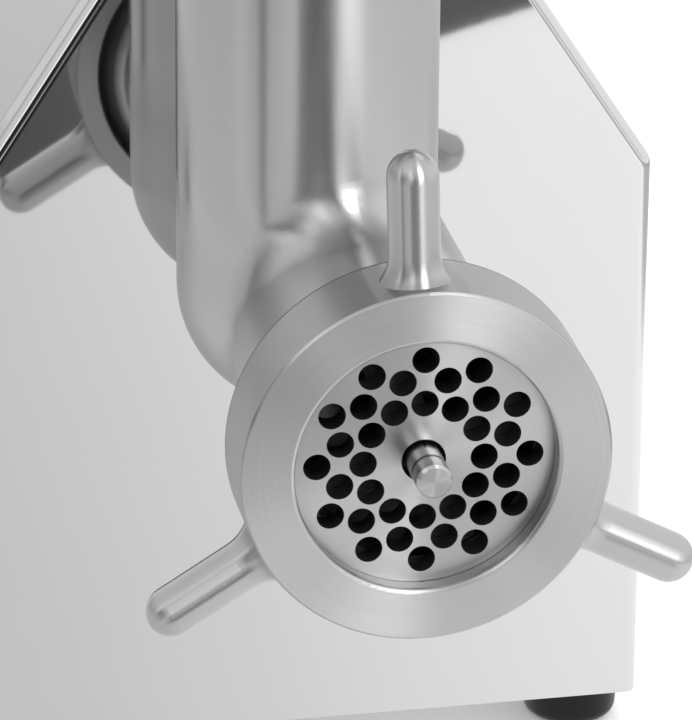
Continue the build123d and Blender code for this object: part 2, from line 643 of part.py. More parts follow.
# Drive shaft: socket for the worm's square at the front, output gear at the rear
SQUARE_SOCKET = DRIVE_SQUARE + 2 * FIT_GAP
SQUARE_END = DRIVE_BEARING_START - FIT_GAP
with BuildPart() as drive_shaft:
    turn_ring(0, COUPLING_DIA, COUPLING_START, DRIVE_BEARING_START)
    turn_ring(0, DRIVE_SHAFT_DIA, DRIVE_BEARING_START, SLOW_START + SLOW_FACE)
    with BuildSketch(across(COUPLING_START)):
        Rectangle(SQUARE_SOCKET, SQUARE_SOCKET)
    extrude(amount=COUPLING_START - DRIVE_BEARING_START, mode=Mode.SUBTRACT)
keep(drive_shaft, "drive_shaft")

with BuildPart() as output_gear:
    gap_down = -pi / 2 + pi / SLOW_GEAR_TEETH
    spur_gear(SLOW_GEAR_TEETH, SLOW_MODULE, gap_down, SLOW_START, SLOW_FACE)
    turn_ring(0, DRIVE_SHAFT_DIA, SLOW_START, SLOW_START + SLOW_FACE, mode=Mode.SUBTRACT)
keep(output_gear, "output_gear")

# Layshaft: pinion cut on the shaft, with the large gear pressed on behind it
with BuildPart() as layshaft:
    turn_ring(0, LAYSHAFT_DIA, LAYSHAFT_START, COVER_START + LAYSHAFT_BEARING_WIDTH, LAYSHAFT_Z)
    spur_gear(SLOW_PINION_TEETH, SLOW_MODULE, pi / 2, SLOW_START, SLOW_FACE, LAYSHAFT_Z)
keep(layshaft, "layshaft")

with BuildPart() as layshaft_gear:
    gap_up = pi / 2 + pi / FAST_GEAR_TEETH
    spur_gear(FAST_GEAR_TEETH, FAST_MODULE, gap_up, FAST_START, FAST_FACE, LAYSHAFT_Z)
    turn_ring(0, LAYSHAFT_DIA, FAST_START, FAST_START + FAST_FACE, LAYSHAFT_Z, Mode.SUBTRACT)
keep(layshaft_gear, "layshaft_gear")

# Ball bearings and the shaft seal, each as its ring of steel or rubber
def bearing(name, shaft_dia, outer_dia, start, width, z=0.0):
    """Closed ball bearing with a running gap on its shaft."""
    with BuildPart() as ring:
        turn_ring(shaft_dia + 2 * RUNNING_GAP, outer_dia, start, start + width, z)
    keep(ring, name)


bearing("drive_bearing_front", DRIVE_SHAFT_DIA, DRIVE_BEARING_DIA, DRIVE_BEARING_START, DRIVE_BEARING_WIDTH)
bearing("drive_bearing_rear", DRIVE_SHAFT_DIA, DRIVE_BEARING_DIA,
        DRIVE_BEARING_START + DRIVE_BEARING_WIDTH, DRIVE_BEARING_WIDTH)
bearing("shaft_seal", COUPLING_DIA, DRIVE_BEARING_DIA, DRIVE_BEARING_START - SEAL_WIDTH, SEAL_WIDTH)
bearing("layshaft_bearing_front", LAYSHAFT_DIA, LAYSHAFT_BEARING_DIA, LAYSHAFT_START,
        LAYSHAFT_BEARING_WIDTH, LAYSHAFT_Z)
bearing("layshaft_bearing_rear", LAYSHAFT_DIA, LAYSHAFT_BEARING_DIA, COVER_START,
        LAYSHAFT_BEARING_WIDTH, LAYSHAFT_Z)

# Motor: finned shell between two end bells, wound stator, rotor on a shaft with the fast pinion
with BuildPart() as motor_shell:
    turn_ring(MOTOR_DIA - 2 * MOTOR_WALL, MOTOR_DIA, SHELL_START, SHELL_END)
    with BuildSketch(across(SHELL_START)):
        with PolarLocations(MOTOR_DIA / 2 + MOTOR_FIN_HEIGHT / 2 - MOTOR_WALL / 4, MOTOR_FINS):
            Rectangle(MOTOR_FIN_HEIGHT + MOTOR_WALL / 2, MOTOR_FIN_WIDTH)
    extrude(amount=SHELL_START - SHELL_END)
keep(motor_shell, "motor_shell")

with BuildPart() as motor_front_bell:
    turn_ring(BELL_BORE_DIA, MOTOR_DIA, MOTOR_START, SHELL_START)
    turn_ring(0, MOTOR_BEARING_DIA, SHELL_START - MOTOR_BEARING_WIDTH, SHELL_START, mode=Mode.SUBTRACT)
keep(motor_front_bell, "motor_front_bell")

with BuildPart() as motor_rear_bell:
    turn_ring(BELL_BORE_DIA, MOTOR_DIA, SHELL_END, MOTOR_END)
    turn_ring(0, MOTOR_BEARING_DIA, SHELL_END, SHELL_END + MOTOR_BEARING_WIDTH, mode=Mode.SUBTRACT)
keep(motor_rear_bell, "motor_rear_bell")

bearing("motor_bearing_front", MOTOR_SHAFT_DIA, MOTOR_BEARING_DIA, SHELL_START - MOTOR_BEARING_WIDTH,
        MOTOR_BEARING_WIDTH)
bearing("motor_bearing_rear", MOTOR_SHAFT_DIA, MOTOR_BEARING_DIA, SHELL_END, MOTOR_BEARING_WIDTH)

CORE_START = (SHELL_START + SHELL_END - ROTOR_LENGTH) / 2
CORE_END = CORE_START + ROTOR_LENGTH
STATOR_BORE = ROTOR_DIA + 2 * AIR_GAP
with BuildPart() as stator:
    turn_ring(STATOR_BORE, MOTOR_DIA - 2 * MOTOR_WALL, CORE_START, CORE_END)
    winding_dia = (STATOR_BORE + MOTOR_DIA) / 2
    turn_ring(STATOR_BORE + 2 * WINDING_STEP, winding_dia, CORE_START - GEAR_SPACE, CORE_END + GEAR_SPACE)
keep(stator, "stator")

with BuildPart() as rotor:
    turn_ring(MOTOR_SHAFT_DIA, ROTOR_DIA, CORE_START, CORE_END)
keep(rotor, "rotor")

FAN_START = MOTOR_END + GEAR_SPACE
FAN_END = FAN_START + FAN_WIDTH
with BuildPart() as motor_shaft:
    turn_ring(0, MOTOR_SHAFT_DIA, FAST_START, FAN_END)
    spur_gear(FAST_PINION_TEETH, FAST_MODULE, -pi / 2, FAST_START, FAST_FACE)
keep(motor_shaft, "motor_shaft")

with BuildPart() as cooling_fan:
    turn_ring(MOTOR_SHAFT_DIA, MOTOR_SHAFT_DIA * 2, FAN_START, FAN_END)
    turn_ring(MOTOR_SHAFT_DIA, FAN_DIA, FAN_START, FAN_START + COWL_SHEET * 2)
    with BuildSketch(across(FAN_START)):
        with PolarLocations(FAN_DIA / 4 + MOTOR_SHAFT_DIA / 4, FAN_BLADES):
            Rectangle(FAN_DIA / 2 - MOTOR_SHAFT_DIA / 2 - FAN_RIM, COWL_SHEET * 2)
    extrude(amount=-FAN_WIDTH)
keep(cooling_fan, "cooling_fan")

with BuildPart() as fan_cowl:
    turn_ring(0, MOTOR_DIA, MOTOR_END, MOTOR_END + COWL_LENGTH)
    turn_ring(0, MOTOR_DIA - 2 * COWL_SHEET, MOTOR_END, MOTOR_END + COWL_LENGTH - COWL_SHEET,
              mode=Mode.SUBTRACT)
    with BuildSketch(across(MOTOR_END + COWL_LENGTH)):
        with PolarLocations(FAN_DIA / 3, FAN_BLADES):
            SlotOverall(FAN_DIA / 4, LOUVRE_WIDTH)
    extrude(amount=2 * COWL_SHEET, mode=Mode.SUBTRACT)
keep(fan_cowl, "fan_cowl")

# Run capacitor on the base plate, held by a bent strap
CAPACITOR_X = HOUSING_WIDTH / 4
CAPACITOR_Z = BASE_TOP - AXIS_Z + CAPACITOR_DIA / 2 + SHEET
with BuildPart() as run_capacitor:
    with BuildSketch(across(SHELL_START, CAPACITOR_X, CAPACITOR_Z)):
        Circle(CAPACITOR_DIA / 2)
    extrude(amount=-CAPACITOR_LENGTH)
    fillet(run_capacitor.faces().filter_by(Axis.Y).edges(), SHEET)
keep(run_capacitor, "run_capacitor")

with BuildPart() as capacitor_strap:
    strap_width = CAPACITOR_DIA + 2 * SHEET
    with BuildSketch(across(SHELL_START + CAPACITOR_LENGTH / 2, CAPACITOR_X, CAPACITOR_Z)):
        Circle(strap_width / 2)
        with Locations((0, -strap_width / 2 + SHEET / 2)):
            Rectangle(STRAP_SPAN, SHEET)
        Circle(CAPACITOR_DIA / 2, mode=Mode.SUBTRACT)
    extrude(amount=PAN_FLANGE / 2, both=True)
keep(capacitor_strap, "capacitor_strap")

# Head casting: barrel with a flange at the outlet, and an offset throat that ends in a round bowl
FLANGE_END = FLANGE_SETBACK + FLANGE_LENGTH
FLANGE_STEP = (FLANGE_DIA - BARREL_DIA) / 2
SEAT_DIA = PLATE_DIA + 2 * BODY_GAP
SEAT_DEPTH = PLATE_THICK + BODY_GAP
KEY_END = SEAT_DEPTH + PLATE_THICK / 2
THROAT_BOWL = level(AXIS_Z + THROAT_ROUND_HEIGHT, THROAT_SHIFT, THROAT_DEPTH)
KEY_PLANE = across(FLANGE_SETBACK, z=-PLATE_DIA / 2)
with BuildPart() as head_body:
    turn([(FLANGE_SETBACK, 0), (BARREL_END, 0), (BARREL_END, BARREL_DIA / 2),
          (FLANGE_END + FLANGE_STEP, BARREL_DIA / 2), (FLANGE_END, FLANGE_DIA / 2),
          (FLANGE_SETBACK, FLANGE_DIA / 2)])
    with BuildSketch(THROAT_BOWL):
        Circle(THROAT_DIA / 2)
    extrude(amount=THROAT_TOP - THROAT_ROUND_HEIGHT)
    with Locations(THROAT_BOWL):
        Sphere(THROAT_DIA / 2)
    fillet(head_body.edges().filter_by(GeomType.BSPLINE), THROAT_FILLET)
    turn_ring(0, SPIGOT_DIA, BARREL_END, SOCKET_DEPTH - FIT_GAP)
    turn_ring(0, SEAT_DIA, FLANGE_SETBACK, SEAT_DEPTH, mode=Mode.SUBTRACT)
    turn_ring(0, BARREL_BORE_DIA, FLANGE_SETBACK, REAR_WALL_START, mode=Mode.SUBTRACT)
    turn_ring(0, WORM_JOURNAL_DIA + 2 * RUNNING_GAP, REAR_WALL_START, SOCKET_DEPTH, mode=Mode.SUBTRACT)
    turn_ring(0, COUPLING_DIA + 2 * BODY_GAP, COUPLING_START - BODY_GAP, SOCKET_DEPTH, mode=Mode.SUBTRACT)
    with BuildSketch(THROAT_BOWL):
        Circle(THROAT_BORE_R)
    extrude(amount=THROAT_TOP, mode=Mode.SUBTRACT)
    with Locations(THROAT_BOWL):
        Sphere(THROAT_BORE_R, mode=Mode.SUBTRACT)
    with BuildSketch(KEY_PLANE):
        Circle(KEY_DIA / 2)
    extrude(amount=FLANGE_SETBACK - KEY_END, mode=Mode.SUBTRACT)
    nose_pins(HEAD_SCREW_DIA + 2 * FIT_GAP, HEAD_SCREW_SEAT, NOSE_DIA, Mode.SUBTRACT)
keep(head_body, "head_body")

# Key pin that stops the perforated plate from turning
with BuildPart() as plate_key:
    with BuildSketch(KEY_PLANE):
        Circle(KEY_DIA / 2)
    extrude(amount=FLANGE_SETBACK - KEY_END)
keep(plate_key, "plate_key")

# Perforated plate: three rings of holes round a bore for the worm's pin, and a notch for the key
with BuildPart() as perforated_plate:
    turn_ring(PLATE_BORE_DIA, PLATE_DIA, 0, PLATE_THICK)
    with BuildSketch(across(0)):
        for ring_radius, ring_turn in PLATE_RINGS:
            with PolarLocations(ring_radius, PLATE_RING_COUNT, start_angle=90 + PLATE_CLOCK + ring_turn):
                Circle(PLATE_HOLE_DIA / 2)
        with Locations((0, -PLATE_DIA / 2)):
            Circle(KEY_DIA / 2 + BODY_GAP)
    extrude(amount=-PLATE_THICK, mode=Mode.SUBTRACT)
keep(perforated_plate, "perforated_plate")

# Cross knife: four tapered blades on a hub with a square hole, its cutting face against the plate
with BuildPart() as knife:
    with BuildSketch(across(KNIFE_START)):
        with PolarLocations(WORM_DIA / 4, KNIFE_BLADES, start_angle=KNIFE_CLOCK):
            Rectangle(WORM_DIA / 2, KNIFE_BLADE_WIDTH)
        Circle(WORM_DIA / 2, mode=Mode.INTERSECT)
    extrude(amount=-KNIFE_THICK, taper=KNIFE_TAPER)
    turn_ring(0, KNIFE_HUB_DIA, KNIFE_START, WORM_START)
    with BuildSketch(across(KNIFE_START)):
        Rectangle(SQUARE_SOCKET, SQUARE_SOCKET)
    extrude(amount=-KNIFE_THICK, mode=Mode.SUBTRACT)
keep(knife, "knife")

# Worm: one flight wound on a core, squares at both ends, a journal in the rear wall
PIN_END = WORM_START + PIN_DIA
FLIGHT_TURN = 360 * WORM_LENGTH / WORM_PITCH
with BuildSketch(across(WORM_END)) as flight_section:
    with BuildLine():
        half_angle = WORM_FLIGHT_ANGLE / 2
        arc = CenterArc((0, 0), WORM_DIA / 2, -half_angle, WORM_FLIGHT_ANGLE)
        Line((0, 0), arc @ 0)
        Line((0, 0), arc @ 1)
    make_face()
    Circle(WORM_CORE_DIA / 2)
flight = Solid.extrude_linear_with_rotation(
    flight_section.sketch.face(), (0, PLATE_Y + WORM_END, AXIS_Z), (0, -WORM_LENGTH, 0), FLIGHT_TURN)
with BuildPart() as worm:
    add(flight)
    turn_ring(0, WORM_JOURNAL_DIA, WORM_END, COUPLING_START - BODY_GAP)
    for square_start, square_end in ((KNIFE_START, WORM_START), (COUPLING_START - BODY_GAP, SQUARE_END)):
        with BuildSketch(across(square_start)):
            Rectangle(DRIVE_SQUARE, DRIVE_SQUARE)
        extrude(amount=square_start - square_end)
    turn_ring(0, PIN_DIA, KNIFE_START, PIN_END, mode=Mode.SUBTRACT)
keep(worm, "worm")

# Front pin, screwed into the worm, with a groove behind its head
with BuildPart() as worm_pin:
    pin_r, groove_r = PIN_DIA / 2, PIN_GROOVE_DIA / 2
    groove_front = PIN_HEAD_LENGTH - PIN_REACH
    groove_back = groove_front + PIN_GROOVE_WIDTH
    turn([(-PIN_REACH, 0), (PIN_END, 0), (PIN_END, pin_r), (groove_back, pin_r), (groove_back, groove_r),
          (groove_front, groove_r), (groove_front, pin_r), (PIN_CHAMFER - PIN_REACH, pin_r),
          (-PIN_REACH, pin_r - PIN_CHAMFER)])
keep(worm_pin, "worm_pin")

# Thrust washer against the rear wall
with BuildPart() as thrust_washer:
    turn_ring(WORM_JOURNAL_DIA + 2 * RUNNING_GAP, SPIGOT_DIA, WORM_END + BODY_GAP, REAR_WALL_START)
keep(thrust_washer, "thrust_washer")

# Clamp ring: turned ring with a lip over the plate and three forged handles
RING_BORE_R = FLANGE_DIA / 2 + BODY_GAP
RING_FRONT = -RING_LIP
RING_BACK = RING_LENGTH - RING_LIP
FLARE_START = RING_DIA / 2 - HANDLE_ROOT
FLARE_END = FLARE_START + HANDLE_FLARE_LENGTH
HANDLE_R = HANDLE_DIA / 2
with BuildPart() as clamp_ring:
    outer_r = RING_DIA / 2
    turn([(RING_FRONT, RING_OPENING_DIA / 2), (-BODY_GAP, RING_OPENING_DIA / 2), (-BODY_GAP, RING_BORE_R),
          (RING_BACK, RING_BORE_R), (RING_BACK, outer_r - RING_CHAMFER / 2),
          (RING_BACK - RING_CHAMFER / 2, outer_r), (RING_FRONT + RING_CHAMFER, outer_r),
          (RING_FRONT, outer_r - RING_CHAMFER)])
    mouth = clamp_ring.faces().sort_by(Axis.Y)[0].edges().sort_by(SortBy.RADIUS)[0]
    fillet(mouth, RING_LIP_ROUND)
    for handle in range(HANDLE_COUNT):
        angle = radians(90 + RING_CLOCK + handle * 360 / HANDLE_COUNT)
        outwards = (cos(angle), 0, sin(angle))
        root = (0, PLATE_Y + HANDLE_DEPTH, AXIS_Z)
        dome_start = HANDLE_REACH - HANDLE_R
        with BuildSketch(Plane(origin=root, x_dir=outwards, z_dir=(0, -1, 0))):
            with BuildLine():
                Line((FLARE_START, 0), (FLARE_START, HANDLE_R + HANDLE_FLARE))
                TangentArc((FLARE_END, HANDLE_R), (FLARE_START, HANDLE_R + HANDLE_FLARE), tangent=(-1, 0))
                Line((FLARE_END, HANDLE_R), (dome_start, HANDLE_R))
                CenterArc((dome_start, 0), HANDLE_R, 0, 90)
                Line((HANDLE_REACH, 0), (FLARE_START, 0))
            make_face()
        revolve(axis=Axis(root, outwards))
keep(clamp_ring, "clamp_ring")

# Feed tray: drawn pan with sloping sides, a turned-down rim and a collar round the throat
TRAY_MIDDLE = THROAT_DEPTH + TRAY_SETBACK
TRAY_TOP = TRAY_FLOOR + TRAY_DEPTH


def tray_pan(inset, floor, mode=Mode.ADD):
    """Tapered pan between the tray's floor and its top, drawn inwards by inset."""
    top_width = TRAY_WIDTH - 2 * TRAY_RIM - 2 * inset
    top_length = TRAY_LENGTH - 2 * TRAY_RIM - 2 * inset
    with BuildSketch(level(floor, depth=TRAY_MIDDLE)) as bottom:
        RectangleRounded(top_width - 2 * TRAY_SLOPE, top_length - 2 * TRAY_SLOPE, TRAY_CORNER - inset)
    with BuildSketch(level(TRAY_TOP, depth=TRAY_MIDDLE)) as top:
        RectangleRounded(top_width, top_length, TRAY_CORNER - inset)
    loft([bottom.sketch.face(), top.sketch.face()], mode=mode)


with BuildPart() as feed_tray:
    tray_pan(0, TRAY_FLOOR)
    with BuildSketch(level(TRAY_TOP, depth=TRAY_MIDDLE)):
        RectangleRounded(TRAY_WIDTH, TRAY_LENGTH, TRAY_CORNER + TRAY_RIM)
    extrude(amount=-TRAY_SHEET)
    with BuildSketch(level(TRAY_TOP, depth=TRAY_MIDDLE)):
        RectangleRounded(TRAY_WIDTH, TRAY_LENGTH, TRAY_CORNER + TRAY_RIM)
        offset(amount=-TRAY_SHEET, mode=Mode.SUBTRACT)
    extrude(amount=-TRAY_LIP)
    with BuildSketch(level(TRAY_FLOOR, THROAT_SHIFT, THROAT_DEPTH)):
        Circle(THROAT_DIA / 2 + BODY_GAP + TRAY_SHEET)
        Circle(THROAT_DIA / 2 + BODY_GAP, mode=Mode.SUBTRACT)
    extrude(amount=-TRAY_COLLAR_LENGTH)
    tray_pan(TRAY_SHEET, TRAY_FLOOR + TRAY_SHEET, Mode.SUBTRACT)
    with BuildSketch(level(TRAY_FLOOR, THROAT_SHIFT, THROAT_DEPTH)):
        Circle(THROAT_BORE_R)
    extrude(amount=2 * TRAY_SHEET, both=True, mode=Mode.SUBTRACT)
keep(feed_tray, "feed_tray")
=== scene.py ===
from math import cos, pi, radians, sin

import bmesh
import bpy
from mathutils import Matrix, Vector


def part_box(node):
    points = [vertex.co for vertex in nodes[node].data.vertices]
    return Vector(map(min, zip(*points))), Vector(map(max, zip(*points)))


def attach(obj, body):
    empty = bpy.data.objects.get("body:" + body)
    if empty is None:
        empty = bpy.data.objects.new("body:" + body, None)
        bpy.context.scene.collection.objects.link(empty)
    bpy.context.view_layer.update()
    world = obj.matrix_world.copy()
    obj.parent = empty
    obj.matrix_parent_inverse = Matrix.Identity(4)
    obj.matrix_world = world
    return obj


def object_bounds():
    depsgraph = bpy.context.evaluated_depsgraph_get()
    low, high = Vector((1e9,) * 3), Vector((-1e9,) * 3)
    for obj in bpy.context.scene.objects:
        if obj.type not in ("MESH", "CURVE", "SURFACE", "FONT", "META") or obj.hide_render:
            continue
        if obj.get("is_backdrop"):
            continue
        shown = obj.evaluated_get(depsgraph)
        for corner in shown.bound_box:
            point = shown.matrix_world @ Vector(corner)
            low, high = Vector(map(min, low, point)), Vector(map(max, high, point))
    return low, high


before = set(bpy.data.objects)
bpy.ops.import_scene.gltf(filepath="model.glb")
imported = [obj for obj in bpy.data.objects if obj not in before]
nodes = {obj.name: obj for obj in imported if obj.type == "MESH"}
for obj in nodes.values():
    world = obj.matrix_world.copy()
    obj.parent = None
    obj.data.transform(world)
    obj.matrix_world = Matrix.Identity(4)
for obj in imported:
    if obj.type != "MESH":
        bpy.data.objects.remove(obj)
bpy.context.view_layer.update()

# Front and rear panels: pressed pans of stainless sheet, polished until they mirror the head.
# The polish leaves a faint cloudiness. The sheet is a little bowed, so the mirror image leans and wavers.


def metal(name, colour, roughness):
    """New fully metallic material, its node tree and its shader."""
    material = bpy.data.materials.new(name)
    material.use_nodes = True
    shader = material.node_tree.nodes["Principled BSDF"]
    shader.inputs["Metallic"].default_value = 1.0
    shader.inputs["Base Color"].default_value = (*colour, 1)
    shader.inputs["Roughness"].default_value = roughness
    return material, material.node_tree, shader


def finish(material, *names):
    """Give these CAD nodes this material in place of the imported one."""
    for name in names:
        nodes[name].data.materials.clear()
        nodes[name].data.materials.append(material)


def scratch_group():
    """Fine scratches: noise on a stretched vector, put out as a tone, a roughness and a height."""
    group = bpy.data.node_groups.new("fine_scratches", "ShaderNodeTree")
    sockets = group.interface
    sockets.new_socket("Vector", in_out="INPUT", socket_type="NodeSocketVector")
    sockets.new_socket("Metal", in_out="INPUT", socket_type="NodeSocketColor")
    sockets.new_socket("Contrast", in_out="INPUT", socket_type="NodeSocketFloat")
    sockets.new_socket("Gloss", in_out="INPUT", socket_type="NodeSocketFloat")
    sockets.new_socket("Gloss Spread", in_out="INPUT", socket_type="NodeSocketFloat")
    sockets.new_socket("Tone", in_out="OUTPUT", socket_type="NodeSocketColor")
    sockets.new_socket("Roughness", in_out="OUTPUT", socket_type="NodeSocketFloat")
    sockets.new_socket("Height", in_out="OUTPUT", socket_type="NodeSocketFloat")
    add, link = group.nodes.new, group.links.new
    source, result = add("NodeGroupInput"), add("NodeGroupOutput")
    noise = add("ShaderNodeTexNoise")
    noise.inputs["Scale"].default_value = 1.0
    noise.inputs["Detail"].default_value = 5.0
    noise.inputs["Roughness"].default_value = 0.7
    link(source.outputs["Vector"], noise.inputs["Vector"])
    centred = add("ShaderNodeMath")
    centred.operation = "SUBTRACT"
    centred.inputs[1].default_value = 0.5
    link(noise.outputs["Fac"], centred.inputs[0])
    tone = add("ShaderNodeMath")
    tone.operation = "MULTIPLY_ADD"
    tone.inputs[2].default_value = 1.0
    link(centred.outputs[0], tone.inputs[0])
    link(source.outputs["Contrast"], tone.inputs[1])
    tinted = add("ShaderNodeVectorMath")
    tinted.operation = "SCALE"
    link(source.outputs["Metal"], tinted.inputs[0])
    link(tone.outputs[0], tinted.inputs["Scale"])
    rough = add("ShaderNodeMath")
    rough.operation = "MULTIPLY_ADD"
    link(centred.outputs[0], rough.inputs[0])
    link(source.outputs["Gloss Spread"], rough.inputs[1])
    link(source.outputs["Gloss"], rough.inputs[2])
    link(tinted.outputs[0], result.inputs["Tone"])
    link(rough.outputs[0], result.inputs["Roughness"])
    link(noise.outputs["Fac"], result.inputs["Height"])
    return group


SCRATCHES = scratch_group()


def add_scratches(tree, shader, vector, colour, roughness, contrast, spread, bump, depth):
    """Join the scratches to a shader, with the vector that lays them out. Returns the group's node."""
    marks = tree.nodes.new("ShaderNodeGroup")
    marks.node_tree = SCRATCHES
    marks.inputs["Metal"].default_value = (*colour, 1)
    marks.inputs["Contrast"].default_value = contrast
    marks.inputs["Gloss"].default_value = roughness
    marks.inputs["Gloss Spread"].default_value = spread
    relief = tree.nodes.new("ShaderNodeBump")
    relief.inputs["Strength"].default_value = bump
    relief.inputs["Distance"].default_value = depth
    tree.links.new(vector, marks.inputs["Vector"])
    tree.links.new(marks.outputs["Tone"], shader.inputs["Base Color"])
    tree.links.new(marks.outputs["Roughness"], shader.inputs["Roughness"])
    tree.links.new(marks.outputs["Height"], relief.inputs["Height"])
    tree.links.new(relief.outputs["Normal"], shader.inputs["Normal"])
    return marks


def brushed(name, colour, roughness, stretch, contrast=0.2, spread=0.1, bump=0.3, depth=0.00002):
    """Metal brushed in straight lines. stretch is the scratches' frequency along X, Y and Z, per metre."""
    material, tree, shader = metal(name, colour, roughness)
    place = tree.nodes.new("ShaderNodeTexCoord")
    layout = tree.nodes.new("ShaderNodeMapping")
    layout.inputs["Scale"].default_value = stretch
    tree.links.new(place.outputs["Object"], layout.inputs["Vector"])
    add_scratches(tree, shader, layout.outputs["Vector"], colour, roughness, contrast, spread, bump, depth)
    return material


BOW_LEAN = 0.0108
PANEL_POLISH = brushed("polished_panel", (0.6, 0.6, 0.6), 0.032, (9, 9, 9), 0.05, 0.02, 0.05, 0.0002)
tree = PANEL_POLISH.node_tree
place, split, bow = (tree.nodes.new(kind) for kind in
                     ("ShaderNodeTexCoord", "ShaderNodeSeparateXYZ", "ShaderNodeBump"))
bow.inputs["Strength"].default_value = 1.0
bow.inputs["Distance"].default_value = BOW_LEAN
waver = next(node for node in tree.nodes if node.type == "BUMP" and node != bow)
tree.links.new(place.outputs["Object"], split.inputs[0])
tree.links.new(split.outputs["X"], bow.inputs["Height"])
tree.links.new(bow.outputs["Normal"], waver.inputs["Normal"])
finish(PANEL_POLISH, "front_panel", "rear_panel")

# Slot hoods: the sheet above each cooling slot is lanced and pressed outwards, so that drips run past it.
# Each is a strip of the sheet's own section, swung nearly a quarter turn about the slot.
SMOOTH_ANGLE, SAME_POINT = radians(35), 0.000001


def begin(name, primitive, **options):
    """Start a piece from a primitive, and leave it in edit mode with all of it selected."""
    bpy.ops.object.select_all(action="DESELECT")
    primitive(**options)
    piece = bpy.context.active_object
    piece.name = name
    bpy.ops.object.transform_apply(location=True, rotation=True, scale=True)
    bpy.ops.object.mode_set(mode="EDIT")
    bpy.ops.mesh.select_all(action="SELECT")
    return piece


def end(piece, material, body):
    """Leave edit mode with sound normals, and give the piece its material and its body."""
    bpy.ops.mesh.select_all(action="SELECT")
    bpy.ops.mesh.remove_doubles(threshold=SAME_POINT)
    bpy.ops.mesh.normals_make_consistent(inside=False)
    bpy.ops.object.mode_set(mode="OBJECT")
    bpy.ops.object.shade_smooth_by_angle(angle=SMOOTH_ANGLE)
    piece.data.materials.append(material)
    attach(piece, body)


def repeat(piece, name, place, body):
    """Copy a piece with a mesh of its own, moved by a matrix."""
    twin = piece.copy()
    twin.data = piece.data.copy()
    twin.name = name
    bpy.context.scene.collection.objects.link(twin)
    twin.data.transform(place)
    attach(twin, body)


AXIS_Z = 0.185
REAR_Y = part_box("rear_panel")[1].y
SLOT_COLUMNS, SLOT_ROWS, SLOT_STEP = (0.0, -0.053, 0.053), range(-3, 4), 0.009
HOOD_WIDTH, HOOD_R, HOOD_SWING, SHEET = 0.043, 0.0032, radians(80), 0.0008
hood = begin("slot_hood", bpy.ops.mesh.primitive_plane_add, size=1, rotation=(pi / 2, 0, 0))
bpy.ops.transform.resize(value=(HOOD_WIDTH, 1, SHEET), center_override=(0, 0, 0))
bpy.ops.transform.translate(value=(0, REAR_Y - SHEET / 4, AXIS_Z + HOOD_R))
bpy.ops.mesh.spin(steps=7, angle=HOOD_SWING, center=(0, REAR_Y - SHEET / 4, AXIS_Z), axis=(-1, 0, 0))
end(hood, PANEL_POLISH, "base")
for column, x in enumerate(SLOT_COLUMNS):
    for row in SLOT_ROWS:
        if x or row:
            step = Matrix.Translation((x, 0, row * SLOT_STEP))
            repeat(hood, f"slot_hood_{column}_{row + 3}", step, "base")

# Casing: one stainless sheet folded over the sides, slopes and top, brushed along its length.
# Its joggled ends slip inside the two pans, and the seam shows as a dark line at the rear.
CASING_SATIN = brushed("brushed_casing", (0.56, 0.56, 0.56), 0.22, (1800, 14, 1800))
finish(CASING_SATIN, "casing")

# Seam bead: the front pan is spot-welded to the casing, and its seam is filled with weld and ground flush.
# It runs up one side, over both slopes and the top, and down the other side, rounded where the sheet is.
PAN_FLANGE, SEAM, BEAD_DEPTH, FLUSH = 0.010, 0.0018, 0.0012, 0.00005
SHOULDER_Z, ROOF_HALF = AXIS_Z + 0.0177, 0.055
SHOULDER_TANGENT, ROOF_TANGENT = 0.00238, 0.00433
low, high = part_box("front_panel")
seam_y = low.y + PAN_FLANGE
corners = [Vector((low.x + FLUSH, 0, low.z)), Vector((low.x + FLUSH, 0, SHOULDER_Z)),
           Vector((-ROOF_HALF, 0, high.z - FLUSH)), Vector((ROOF_HALF, 0, high.z - FLUSH)),
           Vector((high.x - FLUSH, 0, SHOULDER_Z)), Vector((high.x - FLUSH, 0, low.z))]
bead = begin("seam_bead", bpy.ops.mesh.primitive_plane_add, size=SEAM)
bpy.ops.mesh.delete(type="ONLY_FACE")
bpy.ops.mesh.select_all(action="DESELECT")
shape = bmesh.from_edit_mesh(bead.data)
for vertex in shape.verts:
    if vertex.co.x > 0:
        vertex.select_set(True)
bmesh.update_edit_mesh(bead.data)
bpy.ops.mesh.delete(type="VERT")
bpy.ops.mesh.select_all(action="SELECT")
bpy.ops.transform.translate(value=corners[0] + Vector((SEAM / 2, seam_y + SEAM / 2, 0)))
for corner, following in zip(corners, corners[1:]):
    bpy.ops.mesh.extrude_edges_move(TRANSFORM_OT_translate={"value": following - corner})
for height, tangent in ((SHOULDER_Z, SHOULDER_TANGENT), (high.z - FLUSH, ROOF_TANGENT)):
    shape = bmesh.from_edit_mesh(bead.data)
    for edge in shape.edges:
        edge.select_set(all(abs(vertex.co.z - height) < FLUSH / 5 for vertex in edge.verts)
                        and abs(edge.verts[0].co.x - edge.verts[1].co.x) < FLUSH / 5)
    bmesh.update_edit_mesh(bead.data)
    bpy.ops.mesh.bevel(offset=tangent, segments=6)
bpy.ops.mesh.select_all(action="SELECT")
bpy.ops.mesh.normals_make_consistent(inside=False)
bpy.ops.mesh.solidify(thickness=BEAD_DEPTH)
end(bead, CASING_SATIN, "base")

